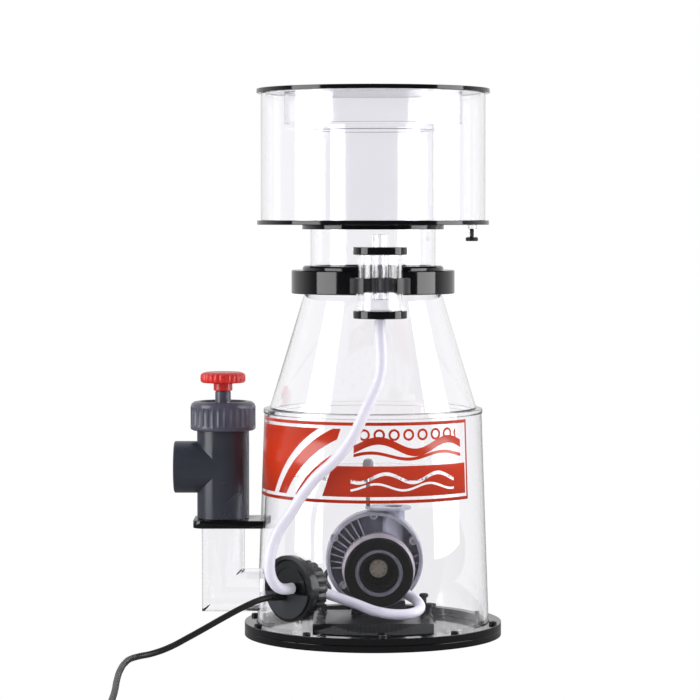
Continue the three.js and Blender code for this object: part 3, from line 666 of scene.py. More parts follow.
bmesh.ops.recalc_face_normals(label_shape, faces=label_shape.faces)
if sum(face.normal.y for face in label_shape.faces) > 0:
    bmesh.ops.reverse_faces(label_shape, faces=label_shape.faces)
print_map = label_shape.loops.layers.uv.new("print")
for face in label_shape.faces:
    for loop in face.loops:
        x, y, z = loop.vert.co / MM
        bearing = math.degrees(math.atan2(x, -y))
        loop[print_map].uv = ((bearing - LABEL_LEFT) / LABEL_SPREAD, (z - LABEL_BOTTOM) / LABEL_HEIGHT)
LABEL_ASPECT = math.radians(LABEL_SPREAD) * shell_radius(LABEL_BOTTOM) / LABEL_HEIGHT
label_film = bpy.data.materials.new("printed_film")
label_film.use_nodes = True
print_tree = label_film.node_tree
uv = add_node(print_tree, "UVMap", {}, uv_map="print")
uv_parts = add_node(print_tree, "SeparateXYZ", {"Vector": uv.outputs["UV"]})
across, up = uv_parts.outputs["X"], uv_parts.outputs["Y"]


def ink(operation, first, second=0.0):
    """A Math node of the print."""
    return calculate(print_tree, operation, first, second)


def band(value, middle, half):
    """1 where the value lies within half of the middle."""
    return ink("LESS_THAN", ink("ABSOLUTE", ink("SUBTRACT", value, middle)), half)


def both(first, second):
    """1 where both are."""
    return ink("MULTIPLY", first, second)


def either(first, second):
    """1 where either is."""
    return ink("MAXIMUM", first, second)


def wave(middle, height, ripples, start=0.0):
    """A height that rises and falls along the label."""
    turn = ink("ADD", ink("MULTIPLY", along, ripples), start)
    return ink("ADD", ink("MULTIPLY", ink("SINE", turn), height), middle)


along = ink("MULTIPLY", across, LABEL_ASPECT)
slant = ink("SUBTRACT", across, ink("ADD", ink("MULTIPLY", up, 0.10), 0.40))
right_side = ink("GREATER_THAN", slant, 0.006)
left_side = ink("LESS_THAN", slant, -0.010)
panel = both(band(across, 0.5, 0.484), band(up, 0.5, 0.42))
frame_line = ink("SUBTRACT", 1.0, both(band(across, 0.5, 0.491), band(up, 0.5, 0.46)))
lower_band = both(both(panel, right_side), ink("LESS_THAN", up, 0.46))
lower_wave = either(
    band(up, wave(0.31, 0.055, 9.0), 0.022), band(up, wave(0.20, 0.04, 9.0, 1.1), 0.014),
)
lower_print = both(lower_band, ink("SUBTRACT", 1.0, both(lower_wave, band(across, 0.72, 0.2))))
upper_waves = either(
    band(up, wave(0.70, 0.075, 6.5), 0.048), band(up, wave(0.585, 0.04, 6.5, 0.6), 0.02),
)
upper_band = both(both(panel, right_side), ink("GREATER_THAN", up, 0.5))
upper_print = both(upper_band, both(upper_waves, band(across, 0.745, 0.215)))
BUBBLE_PITCH = 0.19
bubble_x = ink("SUBTRACT", ink("FRACT", ink("DIVIDE", along, BUBBLE_PITCH)), 0.5)
bubble_y = ink("DIVIDE", ink("SUBTRACT", up, 0.845), BUBBLE_PITCH)
bubble_reach = ink("SQRT", ink("ADD", both(bubble_x, bubble_x), both(bubble_y, bubble_y)))
bubbles = both(both(band(bubble_reach, 0.31, 0.075), band(across, 0.745, 0.19)), upper_band)
corner = both(panel, left_side)


def sweep(radius, half):
    """Part of a circle whose centre lies below the label's left corner."""
    reach_x = ink("SUBTRACT", along, 2.35)
    reach_y = ink("SUBTRACT", up, -0.75)
    distance = ink("SQRT", ink("ADD", both(reach_x, reach_x), both(reach_y, reach_y)))
    return band(distance, radius, half)


stripes = either(sweep(1.30, 0.10), either(sweep(1.62, 0.07), sweep(1.88, 0.045)))
corner_print = both(corner, ink("SUBTRACT", 1.0, stripes))
printed = either(either(frame_line, lower_print), either(either(upper_print, bubbles), corner_print))
print_shader = print_tree.nodes["Principled BSDF"]
print_tree.links.new(ink("ADD", ink("MULTIPLY", printed, 0.91), 0.06), print_shader.inputs["Alpha"])
INK_RED = (0.50, 0.032, 0.008, 1)
ink_colour = add_node(
    print_tree, "Mix", {"Factor": printed, "A": (1, 1, 1, 1), "B": INK_RED}, data_type="RGBA",
)
print_tree.links.new(ink_colour.outputs["Result"], print_shader.inputs["Base Color"])
print_shader.inputs["Roughness"].default_value = 0.22
label = link_mesh("label_film", label_shape, label_film)
film = label.modifiers.new("film", "SOLIDIFY")
film.thickness = 0.08 * MM
film.offset = 1
on_body(label, "label_film")

# ---- Neck joint: collar, lock ring and seal ----
# Black acrylic rings, both open at the front where the silencer hangs. The collar is glued to the
# cone, and the lock ring turns in it to squeeze a rubber ring against the riser tube.
silencer_x, silencer_y, silencer_radius, chamber_bottom, chamber_top = upright("silencer_tube")
FRONT_GAP = 53
_, _, collar_radius, collar_bottom, collar_top = upright("neck_collar")
COLLAR_BORE = 74
COLLAR_SEAT = 79.6
COLLAR_LEDGE = 406


def front_gap():
    """The gap cut in the front of both rings."""
    return block(
        (silencer_x - FRONT_GAP / 2, -110, collar_bottom - 10),
        (silencer_x + FRONT_GAP / 2, -50, collar_top + 20),
    )


collar = carved(spun([
    (COLLAR_BORE, collar_bottom), (collar_radius - 1, collar_bottom), (collar_radius, collar_bottom + 1),
    (collar_radius, collar_top - 1), (collar_radius - 1, collar_top), (COLLAR_SEAT, collar_top),
    (COLLAR_SEAT, COLLAR_LEDGE), (COLLAR_BORE, COLLAR_LEDGE),
], 160), cuts=[front_gap()])
add_piece("clamp_collar", collar, black_acrylic, "black_acrylic", "neck_collar", bevel=0.5)
lip_top = upright("lock_ring")[4]
LIP_RADIUS = 82
lock_ring = carved(spun([
    (COLLAR_BORE, COLLAR_LEDGE + 6), (COLLAR_SEAT - 0.3, COLLAR_LEDGE + 6),
    (COLLAR_SEAT - 0.3, collar_top + 0.3),
    (LIP_RADIUS, collar_top + 0.3), (LIP_RADIUS, lip_top - 2), (LIP_RADIUS - 2, lip_top),
    (COLLAR_BORE, lip_top),
], 160), cuts=[front_gap()])
add_piece(
    "turning_ring", lock_ring, black_acrylic, "black_acrylic", "lock_ring", bevel=0.5, body="lock_ring",
)
seal = ring(COLLAR_SEAT - 0.3, COLLAR_BORE, COLLAR_LEDGE + 0.3, COLLAR_LEDGE + 5, 96)
add_piece("riser_seal", seal, rubber, "black_rubber", "neck_seal", bevel=1.2, segments=3)

# ---- Collection cup: riser, flange, floor, wall and drain ----
# A clear tube glued to a black acrylic floor. The foam rises through the inner tube, whose rim is
# thickened, and spills into the cup. A clear drain stub is closed by a black push-on cap.
_, _, riser_radius, riser_bottom, riser_top = upright("riser_tube")
RISER_BODY = 72.7
RISER_WALL = 4
riser = spun([
    (RISER_BODY - RISER_WALL, riser_bottom), (RISER_BODY, riser_bottom), (RISER_BODY, riser_top - 6),
    (riser_radius, riser_top - 6), (riser_radius, riser_top), (RISER_BODY - RISER_WALL, riser_top),
], 144)
add_piece("clear_riser", riser, clear_acrylic, "clear_acrylic", "riser_tube", bevel=0.5, body="cup")
_, _, cup_flange_radius, cup_flange_bottom, cup_flange_top = upright("cup_flange")
add_piece(
    "riser_flange", ring(cup_flange_radius, RISER_BODY + 0.3, cup_flange_bottom, cup_flange_top),
    black_acrylic, "black_acrylic", "cup_flange", bevel=0.5, body="cup",
)
drain_x, drain_y, stub_radius, stub_bottom, stub_top = upright("drain_stub")
DRAIN_BORE = 3.2
_, _, floor_radius, floor_bottom, floor_top = upright("cup_floor")
cup_floor = carved(
    ring(floor_radius, RISER_BODY + 0.3, floor_bottom, floor_top, 160),
    cuts=[rod(DRAIN_BORE, floor_bottom - 1, floor_top + 1, 32, at(drain_x, drain_y))],
)
add_piece("cup_base", cup_floor, black_acrylic, "black_acrylic", "cup_floor", bevel=0.6, body="cup")
_, _, cup_radius, cup_bottom, cup_top = upright("cup_wall")
cup_wall = ring(cup_radius, cup_radius - WALL, cup_bottom - 0.2, cup_top, 160)
add_piece("clear_cup", cup_wall, clear_acrylic, "clear_acrylic", "cup_wall", bevel=0.4, body="cup")
stub = ring(stub_radius, DRAIN_BORE, stub_bottom, stub_top, 48, at(drain_x, drain_y))
add_piece("drain_spout", stub, clear_acrylic, "clear_acrylic", "drain_stub", bevel=0.4, body="cup")
_, _, cap_radius, cap_bottom, cap_top = upright("drain_plug")
cap = spun([
    (0, cap_bottom), (cap_radius - 0.8, cap_bottom), (cap_radius, cap_bottom + 0.8),
    (cap_radius, cap_bottom + 3.4),
    (cap_radius - 1, stub_bottom - 0.3), (2.6, stub_bottom - 0.3), (2.6, cap_top - 0.6), (2, cap_top),
    (0, cap_top),
], 64, at(drain_x, drain_y))
add_piece("drain_cap", cap, rubber, "black_rubber", "drain_plug", bevel=0.3, body="drain_plug")

# ---- Lid ----
# A black acrylic disc with a clear skirt glued under it, which drops inside the cup.
_, _, lid_radius, lid_bottom, lid_top = upright("lid_plate")
add_piece(
    "lid_disc", rod(lid_radius, lid_bottom, lid_top, 160), black_acrylic, "black_acrylic", "lid_plate",
    bevel=0.6, segments=3, body="lid",
)
_, _, skirt_radius, skirt_bottom, skirt_top = upright("lid_skirt")
add_piece(
    "clear_skirt", ring(skirt_radius, skirt_radius - 4, skirt_bottom, skirt_top + 0.2, 144),
    clear_acrylic, "clear_acrylic", "lid_skirt", bevel=0.4, body="lid",
)

# ---- Air silencer ----
# A clear tube between two black acrylic discs, with an inlet tube through the top and a hose barb
# underneath. A moulded clip holds it in front of the collar's gap.
at_silencer = at(silencer_x, silencer_y)
SILENCER_WALL = 3
silencer_tube = ring(
    silencer_radius, silencer_radius - SILENCER_WALL, chamber_bottom - 0.2, chamber_top + 0.2, 96,
    at_silencer,
)
add_piece("silencer_chamber", silencer_tube, clear_acrylic, "clear_acrylic", "silencer_tube", bevel=0.3)
_, _, inlet_radius, inlet_bottom, inlet_top = upright("silencer_inlet")
INLET_BORE = 4.2
inlet = ring(inlet_radius, INLET_BORE, inlet_bottom, inlet_top, 64, at_silencer)
add_piece("air_inlet", inlet, clear_acrylic, "clear_acrylic", "silencer_inlet", bevel=0.4)
_, _, disc_radius, top_disc_bottom, top_disc_top = upright("silencer_top_cap")
top_disc = ring(disc_radius, inlet_radius + 0.3, top_disc_bottom, top_disc_top, 96, at_silencer)
add_piece("silencer_top_disc", top_disc, black_acrylic, "black_acrylic", "silencer_top_cap", bevel=0.5)
_, _, _, base_disc_bottom, base_disc_top = upright("silencer_base_cap")
add_piece(
    "silencer_base_disc", rod(disc_radius, base_disc_bottom, base_disc_top, 96, at_silencer),
    black_acrylic, "black_acrylic", "silencer_base_cap", bevel=0.5,
)


def barb(length, teeth):
    """Ribbed hose stub along +Z from the origin, in millimetres."""
    profile = [(0, 0), (4.4, 0)]
    for tooth in range(teeth):
        start = 1 + tooth * 3
        profile += [(4.4, start), (5.2, start + 0.3), (4.3, start + 2.6)]
    return profile + [(4.2, length), (2.6, length), (2.6, length - 2), (0, length - 2)]


barb_low, barb_high = corners("silencer_barb")
DOWN = Matrix.Rotation(math.pi, 4, "X")
silencer_barb = spun(barb(barb_high.z - barb_low.z, 2), 40, at_silencer @ at(0, 0, barb_high.z) @ DOWN)
add_piece(
    "silencer_hose_stub", silencer_barb, clear_acrylic, "clear_acrylic", "silencer_barb", bevel=0.15,
)
clip_low, clip_high = corners("silencer_clip")
CLIP_RADIUS = 34
CLIP_MOUTH = 19
clip_bore = silencer_radius + 0.3


def beside_collar():
    """What the clip leaves free for the collar."""
    return rod(collar_radius + 0.3, clip_low.z - 1, clip_high.z + 1, 160)


arms = carved(
    ring(CLIP_RADIUS, clip_bore, clip_low.z, clip_high.z, 96, at_silencer),
    cuts=[block((silencer_x - CLIP_MOUTH, silencer_y - 50, clip_low.z - 1),
                (silencer_x + CLIP_MOUTH, silencer_y - 10, clip_high.z + 1))],
)
bridge = block((silencer_x - CLIP_RADIUS + 0.4, silencer_y + 12, clip_low.z + 0.01),
               (silencer_x + CLIP_RADIUS - 0.4, silencer_y + CLIP_RADIUS - 0.4, clip_high.z - 0.01))
bridge = carved(bridge, cuts=[
    rod(clip_bore + 0.3, clip_low.z - 1, clip_high.z + 1, 96, at_silencer), beside_collar(),
])
clip = carved(carved(arms, cuts=[beside_collar()]), joins=[bridge])
black_plastic = plastic("black_plastic", (0.008, 0.008, 0.0095), roughness=0.3, grain=1100.0)
add_piece("clip", clip, black_plastic, "black_plastic", "silencer_clip", bevel=0.5)

# ---- Wall port ----
# A black moulding through the wall, faced with a half-moon cover and held by a ribbed nut inside.
# The air hose pushes on to its barbs, and the cable passes through below.
PORT_RADIUS = 38
PORT_FACE = -139.7
HOSE_X = 8.7
HOSE_Z = 67.7
INNER_HOSE_X = 7.5
INNER_HOSE_Z = 59
to_port_axis = port_place @ at(0, 0, PORT_HEIGHT) @ TO_REAR


def body_core(offset, low=20, high=112):
    """Tapered solid that fills the wall to a distance from its outside, to shape what sits against it."""
    return spun([
        (0, low), (shell_radius(low) + offset, low), (shell_radius(high) + offset, high), (0, high),
    ], 160)


port_block = carved(
    spun([
        (0, PORT_FACE + 2.6), (31.5, PORT_FACE + 2.6), (33.6, PORT_FACE), (PORT_RADIUS, PORT_FACE + 0.2),
        (PORT_RADIUS, -112), (0, -112),
    ], 128, to_port_axis),
    cuts=[body_core(0.3)],
)
drum_black = plastic(
    "drum_plastic", (0.010, 0.011, 0.013), roughness=0.2, patchiness=0.25, grain=700.0, relief=0.1,
)
barrel = rod(PORT_BARREL, PORT_FACE + 4, -108, 64, to_port_axis)
GLAND_BORE = 5.8
gland_hole = rod(GLAND_BORE, PORT_FACE - 5, PORT_FACE + 4, 40, gland_place)
outer_barb = spun(barb(14, 3), 40, port_place @ at(HOSE_X, PORT_FACE + 2.7, HOSE_Z) @ TO_REAR @ DOWN)
inner_barb = spun(barb(7, 2), 40, port_place @ at(INNER_HOSE_X, -108.4, INNER_HOSE_Z) @ TO_REAR)
groove_ring = ring(25.5, 24.2, PORT_FACE + 1.4, PORT_FACE + 4, 96, to_port_axis)
port_body = carved(port_block, joins=[barrel, outer_barb, inner_barb, groove_ring], cuts=[gland_hole])
add_piece("port_drum", port_body, drum_black, "black_plastic", "port_flange", bevel=0.3)
cover_high = corners("port_cover")[1]
COVER_RADIUS = 34


def port_slab(low_z, high_z):
    """Slab across the front of the port, between two heights."""
    shape = block((-60, -160, low_z), (60, -120, high_z))
    bmesh.ops.transform(shape, matrix=port_place, verts=shape.verts)
    return shape


half_moon = carved(
    rod(COVER_RADIUS, PORT_FACE - 2.8, PORT_FACE + 2.4, 128, to_port_axis),
    cuts=[port_slab(cover_high.z, PORT_HEIGHT + 60),
          rod(GLAND_BORE, -160, -120, 40, gland_place)],
)
cover_black = plastic("cover_plastic", (0.017, 0.020, 0.026), roughness=0.42, grain=600.0, relief=0.12)
add_piece("half_moon_cover", half_moon, cover_black, "black_plastic", "port_cover", bevel=0.5)

NUT_RADIUS = 30
NUT_GROOVES = 16


def draw_in(vert, share):
    """Moves a point to a share of its distance from the upright axis."""
    vert.co.x *= share
    vert.co.y *= share


nut_blank = spun([
    (PORT_BARREL + 0.3, -146), (NUT_RADIUS - 1.5, -146), (NUT_RADIUS, -144), (NUT_RADIUS, -105.5),
    (NUT_RADIUS - 1.5, -104), (PORT_BARREL + 0.3, -104),
], NUT_GROOVES * 12)
for vert in nut_blank.verts:
    x, y, _ = vert.co / MM
    reach = math.hypot(x, y)
    if reach > PORT_BARREL + 2:
        groove = (0.5 - 0.5 * math.cos(math.atan2(y, x) * NUT_GROOVES)) ** 3
        draw_in(vert, (reach - 2 * groove) / reach)
bmesh.ops.transform(nut_blank, matrix=to_port_axis, verts=nut_blank.verts)
outside = spun([
    (shell_radius(20) - WALL - 0.3, 20), (200, 20), (200, 112), (shell_radius(112) - WALL - 0.3, 112),
], 160)
port_nut = carved(nut_blank, cuts=[outside])
add_piece("ribbed_nut", port_nut, black_plastic, "black_plastic", "port_nut", bevel=0.3)

# ---- Pump casing: volute, outlet pipe and intake ----
# Smoke-grey moulded volute with radial ribs round its face, screw bosses and a milky outlet pipe. A
# thick black ring is the intake's mouth, with a grey sleeve in it that also carries the air barb.
smoke_dark = plastic("smoke_field", (0.125, 0.127, 0.175), roughness=0.3, patchiness=0.3, grain=500.0)
# The ribs, rim and screw bosses take a lighter copy of the same smoke plastic: painted light on the raised
# parts.
smoke_painted_lit = plastic("smoke_rib_painted_lit", (0.30, 0.30, 0.36), roughness=0.25, patchiness=0.2, grain=500.0)
milky = plastic("milky_pipe", (0.33, 0.335, 0.42), roughness=0.2, patchiness=0.25, grain=400.0)
intake_low, intake_high = corners("pump_intake_ring")
pump_x = (intake_low.x + intake_high.x) / 2
pump_z = (intake_low.z + intake_high.z) / 2
intake_radius = (intake_high.x - intake_low.x) / 2
to_pump = at(pump_x, 0, pump_z) @ TO_REAR
volute_low, volute_high = corners("pump_volute")
volute_x = (volute_low.x + volute_high.x) / 2
volute_z = (volute_low.z + volute_high.z) / 2
volute_radius = (volute_high.x - volute_low.x) / 2
volute_front = volute_low.y
volute_back = volute_high.y
to_volute = at(volute_x, 0, volute_z) @ TO_REAR
INTAKE_BORE = 27.3
FIELD = volute_front + 13
casing = carved(
    spun([
        (0, FIELD), (volute_radius - 1, FIELD), (volute_radius - 1, volute_back - 4),
        (volute_radius - 6, volute_back), (0, volute_back),
    ], 128, to_volute),
    cuts=[
        rod(INTAKE_BORE, FIELD - 1, volute_back - 4, 96, to_pump),
        rod(6, volute_back - 6, volute_back + 1, 48, to_pump),
    ],
)
add_piece("volute_casing", casing, smoke_dark, "smoke_plastic", "pump_volute", bevel=0.6)
rim = spun([
    (volute_radius - 5.5, FIELD - 0.2), (volute_radius - 5, volute_front),
    (volute_radius - 1.5, volute_front),
    (volute_radius, volute_front + 1.5), (volute_radius, volute_back - 8),
    (volute_radius - 1, volute_back - 7),
    (volute_radius - 1.2, FIELD - 0.2),
], 128, to_volute)
NECK_RADIUS = 43
neck = spun([
    (INTAKE_BORE + 2, FIELD), (INTAKE_BORE + 2, volute_front - 6), (NECK_RADIUS - 5, volute_front - 6),
    (NECK_RADIUS - 1, volute_front - 2), (NECK_RADIUS, FIELD),
], 128, to_pump)
RIB_BEARINGS = [113 + 8.2 * number for number in range(9)] + [19, 8.5, -2]
ribs = []
for bearing in RIB_BEARINGS:
    rib = block((NECK_RADIUS - 2, volute_front + 3, -0.8), (NECK_RADIUS + 22, FIELD + 1, 0.8))
    bmesh.ops.transform(rib, verts=rib.verts, matrix=at(pump_x, 0, pump_z) @ Matrix.Rotation(
        math.radians(-bearing), 4, "Y"))
    ribs.append(rib)
rib_set = carved(merged(ribs), cuts=[ring(volute_radius + 60, volute_radius - 3, -60, 20, 128, to_volute)])
# Ribs and rim in the painted lit copy of the smoke plastic.
add_piece("volute_ribs", rib_set, smoke_painted_lit, "smoke_plastic", bevel=0.25)
add_piece("volute_rim", rim, smoke_painted_lit, "smoke_plastic", bevel=0.5)
neck_plastic = plastic("intake_neck", (0.33, 0.30, 0.34), roughness=0.3, patchiness=0.3, grain=500.0)
add_piece("volute_neck", neck, neck_plastic, "smoke_plastic", bevel=0.5)
BOSS_PLACES = [(0.7, 141.5), (-34.5, 60.4), (46.5, 112), (-45, 116)]
for number, (x, z) in enumerate(BOSS_PLACES, start=1):
    to_boss = at(x, 0, z) @ TO_REAR
    boss = ring(4.6, 2.9, volute_front - 0.4, FIELD + 0.5, 48, to_boss)
    add_piece(f"screw_boss_{number}", boss, smoke_painted_lit, "smoke_plastic", bevel=0.3)
    cap_screw = carved(rod(2.9, volute_front + 1.5, FIELD + 0.5, 40, to_boss),
                       cuts=[rod(1.5, volute_front - 1, volute_front + 3, 6, to_boss)])
    add_piece(f"volute_screw_{number}", cap_screw, nickel, "smoke_plastic", bevel=0.2)

PIPE_RADIUS = 13.3
PIPE_BORE = 10.8
pipe_low, pipe_high = corners("pump_outlet_pipe")
pipe_flange_x = (pipe_low.x + pipe_high.x) / 2
pipe_flange_radius = (pipe_high.x - pipe_low.x) / 2
pipe_y = (pipe_low.y + pipe_high.y) / 2
PIPE_X = pipe_flange_x + 6.2
outlet_pipe = carved(
    rod(PIPE_RADIUS, 98, pipe_high.z - 2, 96, at(PIPE_X, pipe_y)),
    joins=[rod(pipe_flange_radius, pipe_high.z - 3, pipe_high.z, 96, at(pipe_flange_x, pipe_y))],
    cuts=[rod(PIPE_BORE, 110, pipe_high.z + 2, 96, at(PIPE_X, pipe_y))],
)
add_piece("outlet_pipe", outlet_pipe, milky, "smoke_plastic", "pump_outlet_pipe", bevel=0.5)

deep_black = plastic("intake_black", (0.002, 0.002, 0.0024), roughness=0.5, patchiness=0.1, specular=0.06)
mouth_ring = spun([
    (INTAKE_BORE, intake_low.y), (intake_radius - 2.5, intake_low.y), (intake_radius, intake_low.y + 2.5),
    (intake_radius, intake_high.y - 0.5), (intake_radius - 4, volute_front - 6.2),
    (INTAKE_BORE, volute_front - 6.2),
], 128, to_pump)
add_piece("intake_ring", mouth_ring, deep_black, "black_plastic", "pump_intake_ring", bevel=0.6)
grey_plastic = plastic("grey_plastic", (0.10, 0.10, 0.125), roughness=0.3, grain=800.0)
sleeve_low, sleeve_high = corners("pump_intake_sleeve")
THROAT = 19
sleeve = spun([
    (23.4, sleeve_low.y), (INTAKE_BORE - 0.3, sleeve_low.y), (INTAKE_BORE - 0.3, sleeve_low.y + 1.4),
    (INTAKE_BORE - 0.3, sleeve_high.y), (THROAT, sleeve_high.y), (THROAT, sleeve_high.y - 8),
    (22.6, sleeve_low.y + 4),
], 112, to_pump)
add_piece("intake_sleeve", sleeve, grey_plastic, "grey_plastic", "pump_intake_sleeve", bevel=0.4)
# A near-black, barely reflecting ring inside the sleeve's throat: painted shade in the bore.
throat_painted_shade = ring(22.9, 18.6, sleeve_low.y + 3.2, sleeve_high.y + 0.4, 96, to_pump)
add_piece("throat_painted_shade", throat_painted_shade, deep_black, "black_plastic", bevel=0.3)
STUB_TILT = 40
stub_turn = Matrix.Rotation(math.radians(STUB_TILT), 4, "Y")
air_barb_place = at(pump_x, -38, pump_z) @ stub_turn @ at(25, 0) @ TO_RIGHT
add_piece("air_stub", spun(barb(9, 2), 40, air_barb_place), grey_plastic, "grey_plastic", bevel=0.15)

# ---- Needle wheel and magnet rotor ----
# A pinned impeller disc with an ivory hub, pressed on the shaft of the motor's magnet rotor.
ivory = plastic("ivory_hub", (0.92, 0.80, 0.68), roughness=0.35, patchiness=0.35, grain=600.0)
wheel_low, wheel_high = corners("needle_wheel")
HUB_RADIUS = 10.7


def round_axis(reach, turn):
    """Move away from the axis, at a turn in radians."""
    return at(reach * math.cos(turn), reach * math.sin(turn))


hub_front = wheel_low.y
hub_holes = [
    rod(1.1, hub_front - 1, hub_front + 6, 24, to_pump @ round_axis(7.6, math.radians(turn)))
    for turn in range(0, 360, 45)
]
hub = carved(spun([
    (0, hub_front + 1.2), (5.5, hub_front + 0.8), (HUB_RADIUS - 1, hub_front), (HUB_RADIUS, hub_front + 1),
    (HUB_RADIUS, wheel_high.y - 3), (0, wheel_high.y - 3),
], 64, to_pump), cuts=hub_holes)
add_piece("needle_hub", hub, ivory, "ivory_plastic", "needle_wheel", bevel=0.25, body="rotor")
needles = rod(24, wheel_high.y - 3, wheel_high.y, 96, to_pump)
pin_rods = []
for circle, count in ((15.5, 10), (21, 14)):
    for number in range(count):
        place = to_pump @ round_axis(circle, math.tau * number / count)
        pin_rods.append(rod(1.3, wheel_low.y + 1.5, wheel_high.y - 2, 12, place))
needles = carved(needles, joins=[merged(pin_rods)])
add_piece("needle_disc", needles, deep_black, "ivory_plastic", bevel=0.2, body="rotor")
ferrite = plastic("ferrite", (0.035, 0.035, 0.038), roughness=0.35, grain=1500.0)
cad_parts["magnet_rotor"].data.materials.clear()
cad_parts["magnet_rotor"].data.materials.append(ferrite)

# ---- Motor ----
# A black canned motor behind the volute, with cooling fins round it and a screwed end cap.
can_low, can_high = corners("motor_can")
can_radius = (can_high.x - can_low.x) / 2
can_front = can_low.y
can_back = can_high.y
can_profile = [(6, can_front), (28, can_front), (30, can_front + 6), (can_radius, can_front + 10)]
FINS = 9
fin_pitch = (can_back - 20 - (can_front + 14)) / FINS
for number in range(FINS):
    start = can_front + 14 + number * fin_pitch
    can_profile += [
        (can_radius, start), (can_radius - 2.4, start + 1), (can_radius - 2.4, start + fin_pitch - 3),
        (can_radius, start + fin_pitch - 2),
    ]
can_profile += [
    (can_radius, can_back - 4), (can_radius - 4, can_back), (22, can_back), (20, can_back - 1.6),
    (0, can_back - 1.6), (0, can_back - 12), (17, can_back - 12), (17, can_front + 8), (6, can_front + 8),
]
add_piece(
    "motor_housing", spun(can_profile, 128, to_pump), black_plastic, "black_plastic", "motor_can",
    bevel=0.4,
)
for number in range(4):
    place = to_pump @ round_axis(33, math.radians(45 + 90 * number))
    back_screw = carved(
        rod(3, can_back - 2, can_back + 1.2, 40, place), cuts=[rod(1.6, can_back, can_back + 3, 6, place)],
    )
    add_piece(f"end_cap_screw_{number + 1}", back_screw, nickel, "black_plastic", bevel=0.2)

# ---- Pump stand ----
# A black moulded tray with a ribbed front and a cradle under the motor. Rubber dampers with round
# heads push through its corners and keep the pump's hum off the base.
stand_plastic = plastic("stand_plastic", (0.013, 0.014, 0.019), roughness=0.33, patchiness=0.2, grain=800.0)
stand_low, stand_high = corners("pump_stand")
add_piece(
    "pump_tray", copied("pump_stand"), stand_plastic, "black_plastic", "pump_stand", bevel=1.0,
    segments=3,
)
TRAY_TOP = 20
tray_ribs = []
RIB_PITCH = 5
rib_count = int((stand_high.x - stand_low.x - 40) / RIB_PITCH)
for number in range(rib_count):
    x = stand_low.x + 22 + number * RIB_PITCH
    tray_ribs.append(
        block((x, stand_low.y - 1.4, stand_low.z + 1.5), (x + 1.8, stand_low.y + 1, TRAY_TOP - 1.5)),
    )
add_piece("tray_ribs", merged(tray_ribs), stand_plastic, "black_plastic", bevel=0.4)
DAMPERS = [
    (60, 12, 46), (65, -6, 37), (-60, 12, 40), (60, -50, 28), (-60, -50, 28), (60, 52, 28), (-60, 52, 28),
]
for number, (x, y, top) in enumerate(DAMPERS, start=1):
    damper = spun([
        (0, TRAY_TOP - 1), (5.5, TRAY_TOP - 1), (5.5, TRAY_TOP + 2.5), (3.2, TRAY_TOP + 4), (3.2, top - 5),
        (5.2, top - 4), (5.4, top - 1), (4, top), (0, top),
    ], 48, at(x, y))
    add_piece(f"damper_{number}", damper, rubber, "black_rubber", bevel=0.5)

# ---- Bubble plate ----
# A drilled clear acrylic disc that calms the flow, held on a grey post by a domed nut.
_, _, plate_radius, plate_bottom, plate_top = upright("bubble_plate")
post_low, post_high = corners("bubble_plate_post")
post_x = (post_low.x + post_high.x) / 2
post_y = (post_low.y + post_high.y) / 2
drillings = [rod(2.8, plate_bottom - 1, plate_top + 1, 24, at(post_x, post_y))]
for circle, count in ((34, 8), (58, 14), (82, 20)):
    for number in range(count):
        place = round_axis(circle, math.tau * number / count)
        drillings.append(rod(4, plate_bottom - 1, plate_top + 1, 20, place))
plate = carved(rod(plate_radius, plate_bottom, plate_top, 144), cuts=[merged(drillings)])
add_piece("drilled_plate", plate, clear_acrylic, "clear_acrylic", "bubble_plate", bevel=0.25)
NUT_RADIUS_TOP = 6.4
post = spun([
    (0, post_low.z), (2.5, post_low.z), (2.5, plate_top + 0.3), (NUT_RADIUS_TOP, plate_top + 0.3),
    (NUT_RADIUS_TOP, plate_top + 9), (4.8, post_high.z - 1.6), (0, post_high.z),
], 60, at(post_x, post_y))
add_piece("plate_post", post, grey_plastic, "grey_plastic", "bubble_plate_post", bevel=0.3)

# ---- Outlet elbow and shelf ----
# A clear acrylic pipe, mitred at its corner and glued, rises from the body wall to a black acrylic
# shelf that carries the valve.
outlet_x = elbow_low.x + ELBOW_PIPE
ELBOW_BORE = 22


def mitred_leg(lower, upper, direction, place):
    """Open-ended pipe cut off at 45 degrees by the corner's plane."""
    leg = ring(ELBOW_PIPE, ELBOW_BORE, lower, upper, 96, place)
    bmesh.ops.bisect_plane(
        leg, geom=[*leg.verts, *leg.edges, *leg.faces], dist=0.001 * MM, clear_outer=True,
        plane_co=Vector((outlet_x, 0, leg_height)) * MM, plane_no=direction,
    )
    return leg


standing = mitred_leg(leg_height - 60, elbow_top, (1, 0, -1), at(outlet_x, 0))
level = mitred_leg(-60, elbow_high.x - outlet_x, (-1, 0, 1), at(outlet_x, 0, leg_height) @ TO_RIGHT)
elbow = merged([standing, level])
bmesh.ops.remove_doubles(elbow, verts=elbow.verts, dist=0.02 * MM)
bmesh.ops.recalc_face_normals(elbow, faces=elbow.faces)
add_piece("clear_elbow", elbow, clear_acrylic, "clear_acrylic", "outlet_elbow")
add_piece(
    "valve_shelf", copied("outlet_shelf"), black_acrylic, "black_acrylic", "outlet_shelf", bevel=0.6,
    segments=3,
)

